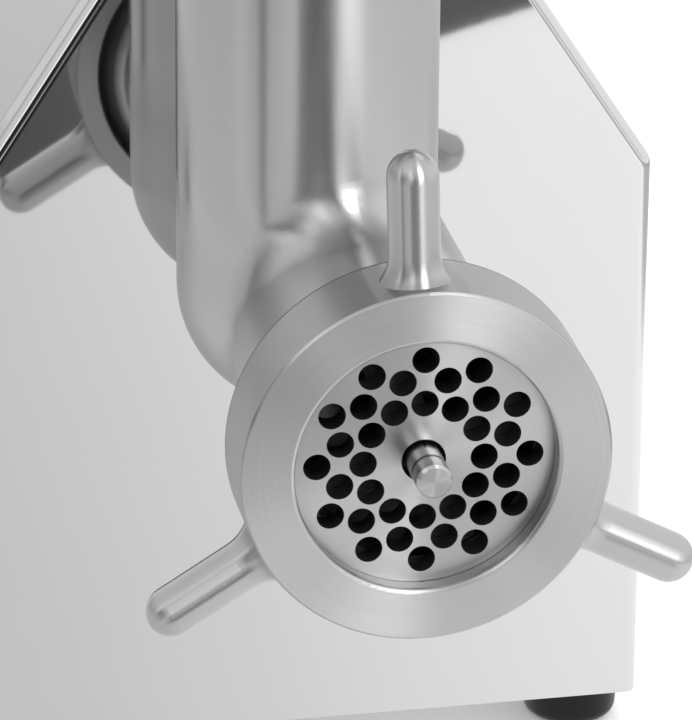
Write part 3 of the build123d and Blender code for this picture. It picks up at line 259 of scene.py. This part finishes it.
# Panel screws: plated pan heads that hold the rear panel to the casing, each with a cross recess.
# The recess is not cut: a flat black cross of painted shade stands in for it, turned a little differently in
# each head.
PLATED = brushed("plated_steel", (0.55, 0.56, 0.58), 0.2, (500, 500, 500), 0.1)
finish(PLATED, "foot_screws", "panel_screws", "head_screws", "cover_screws")
SHADOW = brushed("recess_shadow", (0.02, 0.02, 0.02), 0.6, (900, 900, 900), 0.1)
low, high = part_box("panel_screws")
HEAD_R, CROSS_SUNK, CROSS_BAR, CROSS_ROUND = 0.0028, 0.00015, (0.0004, 0.0034, 0.0007), 0.00012
first = Vector((high.x - CROSS_SUNK, high.y - HEAD_R, high.z - HEAD_R))
lower = low.z + HEAD_R
OTHER_HEADS = ((first.x, lower, 25), (-first.x, first.z, 60), (-first.x, lower, 40))
cross = begin("screw_cross", bpy.ops.mesh.primitive_cube_add, size=1)
bpy.ops.transform.resize(value=CROSS_BAR, center_override=(0, 0, 0))
bpy.ops.mesh.bevel(offset=CROSS_ROUND, segments=2)
bpy.ops.mesh.select_all(action="SELECT")
bpy.ops.mesh.duplicate()
bpy.ops.transform.rotate(value=pi / 2, orient_axis="X", center_override=(0, 0, 0))
bpy.ops.mesh.select_all(action="SELECT")
bpy.ops.transform.translate(value=first)
end(cross, SHADOW, "base")
for number, (x, z, roll) in enumerate(OTHER_HEADS, 1):
    spot = Vector((x, first.y, z))
    there = Matrix.Translation(spot) @ Matrix.Rotation(radians(roll), 4, "X") @ Matrix.Translation(-first)
    repeat(cross, f"screw_cross_{number}", there, "base")

# Base plate, fan cowl and capacitor strap: pressed from plain mill sheet, which is not seen in use.
# The rolling marks run along the sheet.
MILL_SHEET = brushed("mill_sheet", (0.45, 0.45, 0.45), 0.42, (60, 900, 60))
finish(MILL_SHEET, "base_plate", "fan_cowl", "capacitor_strap")

# Feet: black rubber mouldings under the four corners.
# Each is held by a plated screw in a recess.
CLOUD_DARK, CLOUD_LIGHT, GLOSS_WEAR, GRAIN_DEPTH = 0.82, 1.18, 0.08, 0.00005


def moulded(name, colour, roughness, grain, bump, shine=0.5):
    """Moulded plastic or rubber: cloudy colour, and a fine grain in the surface. grain is per metre."""
    material = bpy.data.materials.new(name)
    material.use_nodes = True
    tree = material.node_tree
    shader = tree.nodes["Principled BSDF"]
    shader.inputs["Specular IOR Level"].default_value = shine
    place = tree.nodes.new("ShaderNodeTexCoord")
    speckle = tree.nodes.new("ShaderNodeTexNoise")
    speckle.inputs["Scale"].default_value = grain
    speckle.inputs["Detail"].default_value = 3.0
    shade = tree.nodes.new("ShaderNodeMix")
    shade.data_type = "RGBA"
    shade.inputs["A"].default_value = (*[CLOUD_DARK * c for c in colour], 1)
    shade.inputs["B"].default_value = (*[CLOUD_LIGHT * c for c in colour], 1)
    wear = tree.nodes.new("ShaderNodeMapRange")
    wear.inputs["To Min"].default_value = roughness - GLOSS_WEAR
    wear.inputs["To Max"].default_value = roughness + GLOSS_WEAR
    relief = tree.nodes.new("ShaderNodeBump")
    relief.inputs["Strength"].default_value = bump
    relief.inputs["Distance"].default_value = GRAIN_DEPTH
    link = tree.links.new
    link(place.outputs["Object"], speckle.inputs["Vector"])
    link(speckle.outputs["Fac"], shade.inputs["Factor"])
    link(speckle.outputs["Fac"], wear.inputs["Value"])
    link(speckle.outputs["Fac"], relief.inputs["Height"])
    link(shade.outputs["Result"], shader.inputs["Base Color"])
    link(wear.outputs["Result"], shader.inputs["Roughness"])
    link(relief.outputs["Normal"], shader.inputs["Normal"])
    return material


finish(moulded("foot_rubber", (0.006, 0.006, 0.006), 0.4, 900, 0.4, 0.22),
       "foot_front_left", "foot_front_right", "foot_rear_left", "foot_rear_right")

# Cable gland: black nylon, screwed through the rear panel with its nut inside.
# Its cap has moulded ribs to grip it by.
NYLON = moulded("gland_nylon", (0.02, 0.02, 0.02), 0.5, 700, 0.3)
finish(NYLON, "cable_gland", "gland_nut")
low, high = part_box("cable_gland")
GLAND = Vector(((low.x + high.x) / 2, REAR_Y, (low.z + high.z) / 2))
RIB_SIZE, RIB_TAPER, RIB_PLACE = (0.0012, 0.0105, 0.0016), radians(13.8), Vector((0, 0.0135, 0.0101))
RIBS, RIB_ROUND = 16, 0.0003
ribs = begin("gland_ribs", bpy.ops.mesh.primitive_cube_add, size=1)
bpy.ops.transform.resize(value=RIB_SIZE, center_override=(0, 0, 0))
bpy.ops.mesh.bevel(offset=RIB_ROUND, segments=2)
bpy.ops.mesh.select_all(action="SELECT")
bpy.ops.transform.rotate(value=RIB_TAPER, orient_axis="X", center_override=(0, 0, 0))
bpy.ops.transform.translate(value=GLAND + RIB_PLACE)
bpy.ops.mesh.spin(steps=RIBS - 1, dupli=True, angle=2 * pi * (RIBS - 1) / RIBS, center=GLAND, axis=(0, 1, 0))
end(ribs, NYLON, "base")

# Controls: a black moulded bezel on the left wall, with three push buttons of glossy plastic in it.
# The switch block sits behind the wall.
finish(moulded("bezel_plastic", (0.025, 0.025, 0.027), 0.45, 1200, 0.5), "control_plate", "switch_block")
finish(moulded("start_green", (0.02, 0.30, 0.06), 0.3, 500, 0.1), "start_button")
finish(moulded("stop_red", (0.50, 0.015, 0.015), 0.3, 500, 0.1), "stop_button")
finish(moulded("reverse_black", (0.015, 0.015, 0.015), 0.3, 500, 0.1), "reverse_button")

# Button collars: bright turned rings pressed into the bezel round each button.
# Each button carries a raised white sign: a bar, a ring and a wedge.
CHROME = brushed("bright_collar", (0.62, 0.62, 0.63), 0.1, (300, 300, 300), 0.1)
SIGN_WHITE = moulded("sign_white", (0.75, 0.75, 0.73), 0.5, 300, 0.1)
BEZEL_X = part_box("control_plate")[0].x
BUTTON_RING_R, BUTTON_RING_WIRE = 0.0114, 0.0008
BAR_SIGN, BAR_ROUND, RING_SIGN_R, RING_SIGN_WIRE = (0.0007, 0.0016, 0.0088), 0.0002, 0.0038, 0.0006
WEDGE_R, WEDGE_ROUND, WEDGE_DEPTH = 0.0046, 0.0005, 0.0006


def button_face(name):
    """Middle of a button's outer face."""
    low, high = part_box(f"{name}_button")
    return Vector((low.x, (low.y + high.y) / 2, (low.z + high.z) / 2))


def wall_ring(name, middle, radius, section, material, body):
    """Ring on the left wall, spun from a flattened round section."""
    top = middle + Vector((0, 0, radius))
    ring = begin(name, bpy.ops.mesh.primitive_circle_add, vertices=16, radius=section,
                 rotation=(pi / 2, 0, 0), location=top)
    bpy.ops.transform.resize(value=(0.8, 1, 1), center_override=top)
    bpy.ops.mesh.spin(steps=48, angle=2 * pi, center=middle, axis=(1, 0, 0))
    end(ring, material, body)
    return ring


start, stop, reverse = (button_face(name) for name in ("start", "stop", "reverse"))
seat = Vector((BEZEL_X, start.y, start.z))
collar = wall_ring("button_collar_start", seat, BUTTON_RING_R, BUTTON_RING_WIRE, CHROME, "base")
for name, face in (("stop", stop), ("reverse", reverse)):
    along_wall = Matrix.Translation((0, face.y - start.y, 0))
    repeat(collar, f"button_collar_{name}", along_wall, "base")
bar = begin("start_sign", bpy.ops.mesh.primitive_cube_add, size=1)
bpy.ops.transform.resize(value=BAR_SIGN, center_override=(0, 0, 0))
bpy.ops.mesh.bevel(offset=BAR_ROUND, segments=2)
bpy.ops.mesh.select_all(action="SELECT")
bpy.ops.transform.translate(value=start)
end(bar, SIGN_WHITE, "start")
wall_ring("stop_sign", stop, RING_SIGN_R, RING_SIGN_WIRE, SIGN_WHITE, "stop")
wedge = begin("reverse_sign", bpy.ops.mesh.primitive_circle_add, vertices=3, radius=WEDGE_R,
              fill_type="NGON", rotation=(0, -pi / 2, 0))
bpy.ops.mesh.bevel(offset=WEDGE_ROUND, segments=3, affect="VERTICES")
bpy.ops.mesh.select_all(action="SELECT")
bpy.ops.mesh.extrude_region_move(TRANSFORM_OT_translate={"value": (-WEDGE_DEPTH, 0, 0)})
bpy.ops.mesh.select_all(action="SELECT")
bpy.ops.transform.rotate(value=pi / 2, orient_axis="X", center_override=(0, 0, 0))
bpy.ops.transform.translate(value=reverse + Vector((WEDGE_DEPTH / 2, 0, 0)))
end(wedge, SIGN_WHITE, "reverse")

# Gearbox: sand-cast aluminium case and cover, screwed together.
# The steel shafts and gears are oiled, and run in ball bearings behind a rubber seal.


def cast(name, colour, roughness, grain):
    """Bare casting: grainy, with a slightly uneven tone. grain is per metre."""
    return brushed(name, colour, roughness, (grain, grain, grain), 0.35, 0.2, 0.6, 0.0002)


finish(cast("cast_aluminium", (0.52, 0.53, 0.54), 0.5, 500), "gearbox_case", "gearbox_cover")
finish(brushed("hobbed_steel", (0.40, 0.40, 0.42), 0.28, (300, 900, 300)),
       "drive_shaft", "output_gear", "layshaft", "layshaft_gear", "motor_shaft")
finish(brushed("ground_race", (0.60, 0.60, 0.62), 0.15, (200, 1500, 200), 0.1), "drive_bearing_front",
       "drive_bearing_rear", "layshaft_bearing_front", "layshaft_bearing_rear", "motor_bearing_front",
       "motor_bearing_rear")
finish(moulded("seal_rubber", (0.02, 0.014, 0.01), 0.5, 800, 0.2), "shaft_seal")

# Motor: finned shell and end bells of die-cast aluminium round a varnished core.
# Its fan is moulded, and its run capacitor is a plastic can held by the strap.
DIE_CAST = cast("die_cast_motor", (0.46, 0.47, 0.48), 0.45, 700)
finish(DIE_CAST, "motor_shell", "motor_front_bell", "motor_rear_bell")
finish(cast("varnished_core", (0.16, 0.12, 0.08), 0.4, 1200), "stator", "rotor")
finish(moulded("fan_plastic", (0.06, 0.06, 0.065), 0.5, 600, 0.2), "cooling_fan")
finish(moulded("capacitor_can", (0.70, 0.70, 0.68), 0.4, 400, 0.1), "run_capacitor")

# Head: one stainless casting, brushed round its throat and round its barrel.
# The scratches change direction where the throat runs into the barrel, and reflections smear across them.
HEAD_METAL = (0.5, 0.5, 0.5)
ELBOW_LOW, ELBOW_HIGH = 0.205, 0.235
BARREL_LAY, THROAT_LAY = (14, 2000, 14), (14, 14, 2000)
# The black that the head, ring and plate are darkened towards is painted shade, not grease.
THREAD_CLEAR, THREAD_DARK, PAINTED_SHADE = 0.004, 0.001, (0.02, 0.02, 0.02, 1)
head, tree, shader = metal("brushed_head", HEAD_METAL, 0.2)
place = tree.nodes.new("ShaderNodeTexCoord")
split = tree.nodes.new("ShaderNodeSeparateXYZ")
rise = tree.nodes.new("ShaderNodeMapRange")
rise.inputs["From Min"].default_value = ELBOW_LOW
rise.inputs["From Max"].default_value = ELBOW_HIGH
round_barrel = tree.nodes.new("ShaderNodeMapping")
round_barrel.inputs["Scale"].default_value = BARREL_LAY
round_throat = tree.nodes.new("ShaderNodeMapping")
round_throat.inputs["Scale"].default_value = THROAT_LAY
lay, smear = tree.nodes.new("ShaderNodeMix"), tree.nodes.new("ShaderNodeMix")
lay.data_type = smear.data_type = "VECTOR"
smear.inputs["A"].default_value = (0, 1, 0)
smear.inputs["B"].default_value = (0, 0, 1)
shader.inputs["Anisotropic"].default_value = 0.9
tree.links.new(place.outputs["Object"], split.inputs[0])
tree.links.new(place.outputs["Object"], round_barrel.inputs["Vector"])
tree.links.new(place.outputs["Object"], round_throat.inputs["Vector"])
tree.links.new(split.outputs["Z"], rise.inputs["Value"])
tree.links.new(rise.outputs["Result"], lay.inputs["Factor"])
tree.links.new(rise.outputs["Result"], smear.inputs["Factor"])
tree.links.new(smear.outputs["Result"], shader.inputs["Tangent"])
tree.links.new(round_barrel.outputs["Vector"], lay.inputs["A"])
tree.links.new(round_throat.outputs["Vector"], lay.inputs["B"])
marks = add_scratches(tree, shader, lay.outputs["Result"], HEAD_METAL, 0.3, 0.16, 0.1, 0.3, 0.00002)


def darken(tree, shader, tone, share):
    """Blend a shader from its own metal towards black, as painted shade, by a share that runs from 0 to 1."""
    bare = tree.nodes.new("ShaderNodeMath")
    bare.operation = "SUBTRACT"
    bare.inputs[0].default_value = 1.0
    tree.links.new(share, bare.inputs[1])
    tree.links.new(bare.outputs[0], shader.inputs["Metallic"])
    shaded = tree.nodes.new("ShaderNodeMix")
    shaded.data_type = "RGBA"
    shaded.inputs["B"].default_value = PAINTED_SHADE
    tree.links.new(share, shaded.inputs["Factor"])
    tree.links.new(tone, shaded.inputs["A"])
    tree.links.new(shaded.outputs["Result"], shader.inputs["Base Color"])


# The head's flange and thread, hidden in the clamp ring, are darkened towards black: painted shade in the
# deep groove.
FLANGE_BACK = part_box("clamp_ring")[1].y
thread = tree.nodes.new("ShaderNodeMapRange")
thread.inputs["From Min"].default_value = FLANGE_BACK + THREAD_CLEAR
thread.inputs["From Max"].default_value = FLANGE_BACK + THREAD_DARK
tree.links.new(split.outputs["Y"], thread.inputs["Value"])
darken(tree, shader, marks.outputs["Tone"], thread.outputs["Result"])
finish(head, "head_body")

# Worm, knife and thrust washer: they run inside the head. The worm is cast and dark with grease.
# The knife is forged from carbon steel, and the washer behind the worm is bronze.
finish(cast("greasy_worm", (0.08, 0.08, 0.08), 0.42, 200), "worm")
finish(brushed("carbon_steel", (0.05, 0.05, 0.052), 0.4, (150, 900, 150)), "knife", "plate_key")
finish(brushed("bronze", (0.48, 0.30, 0.10), 0.35, (300, 300, 300)), "thrust_washer")

# Clamp ring, plate and pin: turned on a lathe, so their scratches run in circles round the worm's line.
# The ring's three handles are forged and polished.
RAMP_RADIUS, LATHE_MARKS, MARK_BREAK = 0.1, 1700, 0.02
POLISHED_CONTRAST, POLISHED_GLOSS, POLISH_FADE = 0.02, 0.31, 0.002


def turned(name, tones, roughness, contrast, spread, bump, depth, edge=1.0):
    """Metal turned about the worm's line, so that reflections smear outwards from it.
    tones are pairs of radius, in metres, and grey. Past the radius edge it is polished instead."""
    colour = (tones[0][1],) * 3
    material, tree, shader = metal(name, colour, roughness)
    shader.inputs["Anisotropic"].default_value = 0.9
    place = tree.nodes.new("ShaderNodeTexCoord")
    centre = tree.nodes.new("ShaderNodeMapping")
    centre.inputs["Location"].default_value = (0, 0, -AXIS_Z)
    split = tree.nodes.new("ShaderNodeSeparateXYZ")
    flat = tree.nodes.new("ShaderNodeVectorMath")
    flat.operation = "MULTIPLY"
    flat.inputs[1].default_value = (1, 0, 1)
    radius = tree.nodes.new("ShaderNodeVectorMath")
    radius.operation = "LENGTH"
    streak = tree.nodes.new("ShaderNodeMath")
    streak.operation = "MULTIPLY"
    streak.inputs[1].default_value = MARK_BREAK
    wound = tree.nodes.new("ShaderNodeCombineXYZ")
    fine = tree.nodes.new("ShaderNodeVectorMath")
    fine.operation = "SCALE"
    fine.inputs["Scale"].default_value = LATHE_MARKS
    link = tree.links.new
    link(place.outputs["Object"], centre.inputs["Vector"])
    link(centre.outputs["Vector"], flat.inputs[0])
    link(centre.outputs["Vector"], split.inputs[0])
    link(flat.outputs["Vector"], radius.inputs[0])
    link(radius.outputs["Value"], wound.inputs["X"])
    link(split.outputs["Y"], wound.inputs["Y"])
    link(split.outputs["X"], streak.inputs[0])
    link(streak.outputs[0], wound.inputs["Z"])
    link(flat.outputs["Vector"], shader.inputs["Tangent"])
    link(wound.outputs["Vector"], fine.inputs[0])
    marks = add_scratches(tree, shader, fine.outputs["Vector"], colour, roughness, contrast, spread,
                          bump, depth)
    reach = tree.nodes.new("ShaderNodeMath")
    reach.operation = "DIVIDE"
    reach.inputs[1].default_value = RAMP_RADIUS
    by_radius = tree.nodes.new("ShaderNodeValToRGB")
    for distance, grey in tones:
        mark = by_radius.color_ramp.elements.new(distance / RAMP_RADIUS)
        mark.color = (grey, grey, grey, 1)
    by_radius.color_ramp.elements.remove(by_radius.color_ramp.elements[0])
    by_radius.color_ramp.elements.remove(by_radius.color_ramp.elements[-1])
    link(radius.outputs["Value"], reach.inputs[0])
    link(reach.outputs[0], by_radius.inputs["Fac"])
    link(by_radius.outputs["Color"], marks.inputs["Metal"])
    for socket, turned_value, polished_value in (("Contrast", contrast, POLISHED_CONTRAST),
                                                 ("Gloss", roughness, POLISHED_GLOSS),
                                                 ("Gloss Spread", spread, 0.0)):
        fade = tree.nodes.new("ShaderNodeMapRange")
        fade.inputs["From Min"].default_value = edge
        fade.inputs["From Max"].default_value = edge + POLISH_FADE
        fade.inputs["To Min"].default_value = turned_value
        fade.inputs["To Max"].default_value = polished_value
        link(radius.outputs["Value"], fade.inputs["Value"])
        link(fade.outputs["Result"], marks.inputs[socket])
    return material


def darken_band(material, front, back):
    """Darken a material with painted shade in a narrow band between two places along Y."""
    tree = material.node_tree
    shader = tree.nodes["Principled BSDF"]
    place, split, rise, fall, share = (tree.nodes.new(kind) for kind in
                                       ("ShaderNodeTexCoord", "ShaderNodeSeparateXYZ", "ShaderNodeMapRange",
                                        "ShaderNodeMapRange", "ShaderNodeMath"))
    share.operation = "MINIMUM"
    quarter = (back - front) / 4
    for ramp, clear, full in ((rise, front, front + quarter), (fall, back, back - quarter)):
        ramp.inputs["From Min"].default_value = clear
        ramp.inputs["From Max"].default_value = full
        tree.links.new(split.outputs["Y"], ramp.inputs["Value"])
    tree.links.new(place.outputs["Object"], split.inputs[0])
    tree.links.new(rise.outputs["Result"], share.inputs[0])
    tree.links.new(fall.outputs["Result"], share.inputs[1])
    darken(tree, shader, shader.inputs["Base Color"].links[0].from_socket, share.outputs[0])


def darken_facing(material, low, high):
    """Darken a material with painted shade where it turns away from the front: bare where its normal's Y is
    below low, and dark where that is above high."""
    tree = material.node_tree
    shader = tree.nodes["Principled BSDF"]
    facing, split, share = (tree.nodes.new(kind) for kind in
                            ("ShaderNodeNewGeometry", "ShaderNodeSeparateXYZ", "ShaderNodeMapRange"))
    share.inputs["From Min"].default_value = low
    share.inputs["From Max"].default_value = high
    tree.links.new(facing.outputs["True Normal"], split.inputs[0])
    tree.links.new(split.outputs["Y"], share.inputs["Value"])
    darken(tree, shader, shader.inputs["Base Color"].links[0].from_socket, share.outputs["Result"])


# The ring's grey by radius: darker on the opening's inner wall and on the outer wall, as painted shade; the
# handles have their own polished grey.
RING_TONES = ((0.0381, 0.33), (0.0388, 0.56), (0.0534, 0.56), (0.0537, 0.38), (0.0546, 0.38), (0.0565, 0.47))
RING_EDGE, RIM_FRONT, RIM_BACK = 0.0545, FLANGE_BACK - 0.0010, FLANGE_BACK - 0.0001
PLATE_FACE, PLATE_WALL = -0.9, -0.5
ring = turned("turned_ring", RING_TONES, 0.34, 0.25, 0.1, 0.06, 0.00002, RING_EDGE)
# Painted shade: a thin dark band round the ring's rear rim, where it meets the barrel.
darken_band(ring, RIM_FRONT, RIM_BACK)
finish(ring, "clamp_ring")
plate = turned("ground_plate", ((0.01, 0.54), (0.04, 0.54)), 0.3, 0.12, 0.1, 0.1, 0.00002)
# Painted shade: the plate goes black where it turns away from the front, down the walls of its holes and
# round its rim.
darken_facing(plate, PLATE_FACE, PLATE_WALL)
finish(plate, "perforated_plate")
finish(turned("turned_pin", ((0.001, 0.5), (0.01, 0.5)), 0.26, 0.15, 0.08, 0.3, 0.00002), "worm_pin")

# Feed tray: a drawn stainless pan with a turned-down rim, its collar slipped over the throat.
# The collar is welded to the pan's underside all round.
TRAY_SATIN = brushed("satin_tray", (0.55, 0.55, 0.55), 0.24, (1500, 14, 1500))
finish(TRAY_SATIN, "feed_tray")
THROAT_X, THROAT_Y = -0.0103, -0.09865
COLLAR_R, COLLAR_LENGTH, WELD_R = 0.0413, 0.024, 0.0016
COLLAR = Vector((THROAT_X, THROAT_Y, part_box("feed_tray")[0].z + COLLAR_LENGTH))
WELD_START = COLLAR + Vector((COLLAR_R, 0, 0))
weld = begin("collar_weld", bpy.ops.mesh.primitive_circle_add, vertices=12, radius=WELD_R,
             rotation=(pi / 2, 0, 0), location=WELD_START)
bpy.ops.transform.resize(value=(1.2, 1, 1), center_override=WELD_START)
bpy.ops.mesh.spin(steps=96, angle=2 * pi, center=COLLAR, axis=(0, 0, 1))
end(weld, TRAY_SATIN, "tray")

# Table: a white top that runs on behind as the backdrop.
# Metal also sees the dim room in front of it, a bright window to the right and softer lights to the left.
# Those are cards that the camera doesn't see, and that throw no light or shadow on anything else.
CAMERA_LIFT, MATT_WHITE = 0.2, (0.9, 0.9, 0.9, 1)


def board(name, corners, paint):
    """Flat four-cornered stage piece, its corners given in turn."""
    bpy.ops.object.select_all(action="DESELECT")
    bpy.ops.mesh.primitive_plane_add(size=1)
    piece = bpy.context.active_object
    piece.name = name
    around = [piece.data.vertices[i] for i in piece.data.polygons[0].vertices]
    for vertex, corner in zip(around, corners):
        vertex.co = corner
    piece.data.materials.append(paint)
    piece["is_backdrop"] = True
    return piece


def stage_paint(name, tones):
    """Matt white paint that shines by its tones in reflections, and takes light and shadow otherwise.
    The camera sees it a little brighter, as pure white. tones are pairs of X, in metres, and brightness."""
    material = bpy.data.materials.new(name)
    material.use_nodes = True
    tree = material.node_tree
    tree.nodes.clear()
    add, link = tree.nodes.new, tree.links.new
    result, matt = add("ShaderNodeOutputMaterial"), add("ShaderNodeBsdfDiffuse")
    glow = add("ShaderNodeEmission")
    matt.inputs["Color"].default_value = MATT_WHITE
    path, mix = add("ShaderNodeLightPath"), add("ShaderNodeMixShader")
    lift, white, seen = add("ShaderNodeMath"), add("ShaderNodeEmission"), add("ShaderNodeAddShader")
    lift.operation = "MULTIPLY"
    lift.inputs[1].default_value = CAMERA_LIFT
    place, split, slope = add("ShaderNodeTexCoord"), add("ShaderNodeSeparateXYZ"), add("ShaderNodeFloatCurve")
    curve = slope.mapping.curves[0]
    slope.mapping.use_clip = False
    slope.mapping.extend = "HORIZONTAL"
    for x, tone in tones[1:-1]:
        curve.points.new(x, tone)
    for point, (x, tone) in zip(curve.points, tones):
        point.location = (x, tone)
        point.handle_type = "VECTOR"
    slope.mapping.update()
    reflected = add("ShaderNodeMath")
    reflected.operation = "MAXIMUM"
    link(place.outputs["Object"], split.inputs[0])
    link(split.outputs["X"], slope.inputs["Value"])
    link(slope.outputs["Value"], glow.inputs["Strength"])
    link(path.outputs["Is Glossy Ray"], reflected.inputs[0])
    link(path.outputs["Is Transmission Ray"], reflected.inputs[1])
    link(reflected.outputs[0], mix.inputs["Fac"])
    link(path.outputs["Is Camera Ray"], lift.inputs[0])
    link(lift.outputs[0], white.inputs["Strength"])
    link(matt.outputs[0], seen.inputs[0])
    link(white.outputs[0], seen.inputs[1])
    link(seen.outputs[0], mix.inputs[1])
    link(glow.outputs[0], mix.inputs[2])
    link(mix.outputs[0], result.inputs["Surface"])
    return material


TABLE_TONES = ((-1.0, 0.73), (-0.75, 0.79), (-0.45, 0.92), (-0.3, 0.94), (-0.08, 0.9), (0.0, 1.03),
               (0.05, 1.14), (0.12, 1.26), (0.2, 1.34), (0.4, 1.45), (0.5, 0.78), (0.85, 0.6), (1.3, 1.2))
TABLE_HALF = 6
board("table", [(-TABLE_HALF, -TABLE_HALF, 0), (TABLE_HALF, -TABLE_HALF, 0), (TABLE_HALF, TABLE_HALF, 0),
                (-TABLE_HALF, TABLE_HALF, 0)], stage_paint("white_table", TABLE_TONES))
DIM = stage_paint("dim_room", ((-1.0, 0.03), (-0.15, 0.03), (0.02, 0.15), (1.0, 0.17)))
BRIGHT = stage_paint("bright_window", ((-1.0, 6.0), (0.4, 6.0), (0.6, 5.0), (0.9, 2.5)))
CARD_Z, LEFT_X, FRONT_Y = 0.001, -0.95, -2.0


def left_card(name, front, back, foot, top, paint):
    """Upright card to the left of the machine, running from front to back along Y."""
    return board(name, [(LEFT_X, front, foot), (LEFT_X, back, foot), (LEFT_X, back, top),
                        (LEFT_X, front, top)], paint)


dim_room = board("dim_room", [(-2.14, -6.16, CARD_Z), (0.3, -6.2, CARD_Z), (0.3, -0.7975, CARD_Z),
                              (-0.15, -0.505, CARD_Z)], DIM)
dim_wall = left_card("dim_wall", -1.6, -0.62, 0.2, 0.7, DIM)
PALE = stage_paint("pale_wall", ((-1.0, 1.5), (1.0, 1.5)))
pale_wall = left_card("pale_wall", -0.58, -0.36, 0.3, 0.7, PALE)
SOFT = stage_paint("soft_light", ((-1.0, 2.0), (1.0, 2.0)))
soft_light = board("soft_light", [(-0.62, FRONT_Y, 0.3), (-0.22, FRONT_Y, 0.42), (-0.85, FRONT_Y, 2.0),
                                  (-1.6, FRONT_Y, 1.7)], SOFT)
high_light = left_card("high_light", -1.7, -0.6, 0.75, 1.4, PALE)
dim_gap = board("dim_gap", [(-2.2, -2.15, CARD_Z), (-2.42, -1.94, CARD_Z), (-0.365, -0.37, CARD_Z),
                            (-0.335, -0.4, CARD_Z)], DIM)
window = board("window", [(0.363, -1.555, 0.25), (0.882, -1.313, 0.25), (0.882, -1.313, 1.9),
                          (0.363, -1.555, 1.9)], BRIGHT)
for card in (dim_room, dim_gap, dim_wall, pale_wall, soft_light, high_light, window):
    card.visible_camera = False
    card.visible_diffuse = False
    card.visible_shadow = False

# Light: an even bright room, darker at the front horizon and a little brighter to the right and behind.
# A broad overcast sun gives the shadows. It is kept out of reflections, where it would be a hard disc.
HORIZON_TONES = ((0.0, 0.32), (0.12, 0.5), (0.35, 0.95), (1.0, 1.0))
BRIGHT_WAY, BRIGHT_FROM, BRIGHT_TO, BRIGHT_TONE = (0.8, 0.6, 0), -0.1, 0.4, (1.2, 1.2, 1.2, 1)
world = bpy.data.worlds.new("room")
bpy.context.scene.world = world
world.use_nodes = True
tree = world.node_tree
tree.nodes.clear()
add, link = tree.nodes.new, tree.links.new
result, path, choice = add("ShaderNodeOutputWorld"), add("ShaderNodeLightPath"), add("ShaderNodeMixShader")
backdrop, room = add("ShaderNodeBackground"), add("ShaderNodeBackground")
backdrop.inputs["Color"].default_value = (1, 1, 1, 1)
way, split, ramp = add("ShaderNodeTexCoord"), add("ShaderNodeSeparateXYZ"), add("ShaderNodeValToRGB")
for height, grey in HORIZON_TONES:
    mark = ramp.color_ramp.elements.new(height)
    mark.color = (grey, grey, grey, 1)
side, behind, tone = add("ShaderNodeVectorMath"), add("ShaderNodeMapRange"), add("ShaderNodeMix")
side.operation = "DOT_PRODUCT"
side.inputs[1].default_value = BRIGHT_WAY
behind.inputs["From Min"].default_value = BRIGHT_FROM
behind.inputs["From Max"].default_value = BRIGHT_TO
tone.data_type = "RGBA"
tone.inputs["B"].default_value = BRIGHT_TONE
link(way.outputs["Generated"], split.inputs[0])
link(way.outputs["Generated"], side.inputs[0])
link(split.outputs["Z"], ramp.inputs["Fac"])
link(side.outputs["Value"], behind.inputs["Value"])
link(behind.outputs["Result"], tone.inputs["Factor"])
link(ramp.outputs["Color"], tone.inputs["A"])
link(tone.outputs["Result"], room.inputs["Color"])
link(path.outputs["Is Camera Ray"], choice.inputs["Fac"])
link(room.outputs[0], choice.inputs[1])
link(backdrop.outputs[0], choice.inputs[2])
link(choice.outputs[0], result.inputs["Surface"])
sun = bpy.data.lights.new("overcast_sun", "SUN")
sun.energy, sun.angle = 1.3, radians(80)
holder = bpy.data.objects.new("overcast_sun", sun)
bpy.context.scene.collection.objects.link(holder)
holder.rotation_euler = (radians(8), radians(12), 0)
holder.visible_glossy = False

# Camera: a long lens above and to the left of the outlet, turned a little about its own line.
# The plate's middle lies off the middle of the frame, so the camera is moved sideways and up for it.
AZIMUTH, ELEVATION, ROLL = radians(-11.4), radians(23.43), radians(0.48)
FOCUS_PIXELS, DISTANCE, SENSOR = 5612.0, 1.6, 36
FRAME_WIDTH, FRAME_HEIGHT = 692, 720
PLATE_ACROSS, PLATE_DOWN = 423.78, 460.22
PLATE = Vector((0, -0.22315, AXIS_Z))
right = Vector((cos(AZIMUTH), sin(AZIMUTH), 0))
forward = Vector((-sin(AZIMUTH) * cos(ELEVATION), cos(AZIMUTH) * cos(ELEVATION), -sin(ELEVATION)))
up = right.cross(forward)
across = cos(ROLL) * right + sin(ROLL) * up
upright = cos(ROLL) * up - sin(ROLL) * right
aside = -(PLATE_ACROSS - FRAME_WIDTH / 2) / FOCUS_PIXELS * DISTANCE
above = (PLATE_DOWN - FRAME_HEIGHT / 2) / FOCUS_PIXELS * DISTANCE
lens = bpy.data.cameras.new("camera")
lens.sensor_fit = "VERTICAL"
lens.sensor_height = SENSOR
lens.lens = FOCUS_PIXELS / FRAME_HEIGHT * SENSOR
lens.clip_end = 50
camera = bpy.data.objects.new("camera", lens)
bpy.context.scene.collection.objects.link(camera)
stand = PLATE + aside * across + above * upright - DISTANCE * forward
camera.matrix_world = Matrix.Translation(stand) @ Matrix((across, upright, -forward)).transposed().to_4x4()
bpy.context.scene.camera = camera
bpy.context.scene.view_settings.view_transform = "Standard"

low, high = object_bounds()
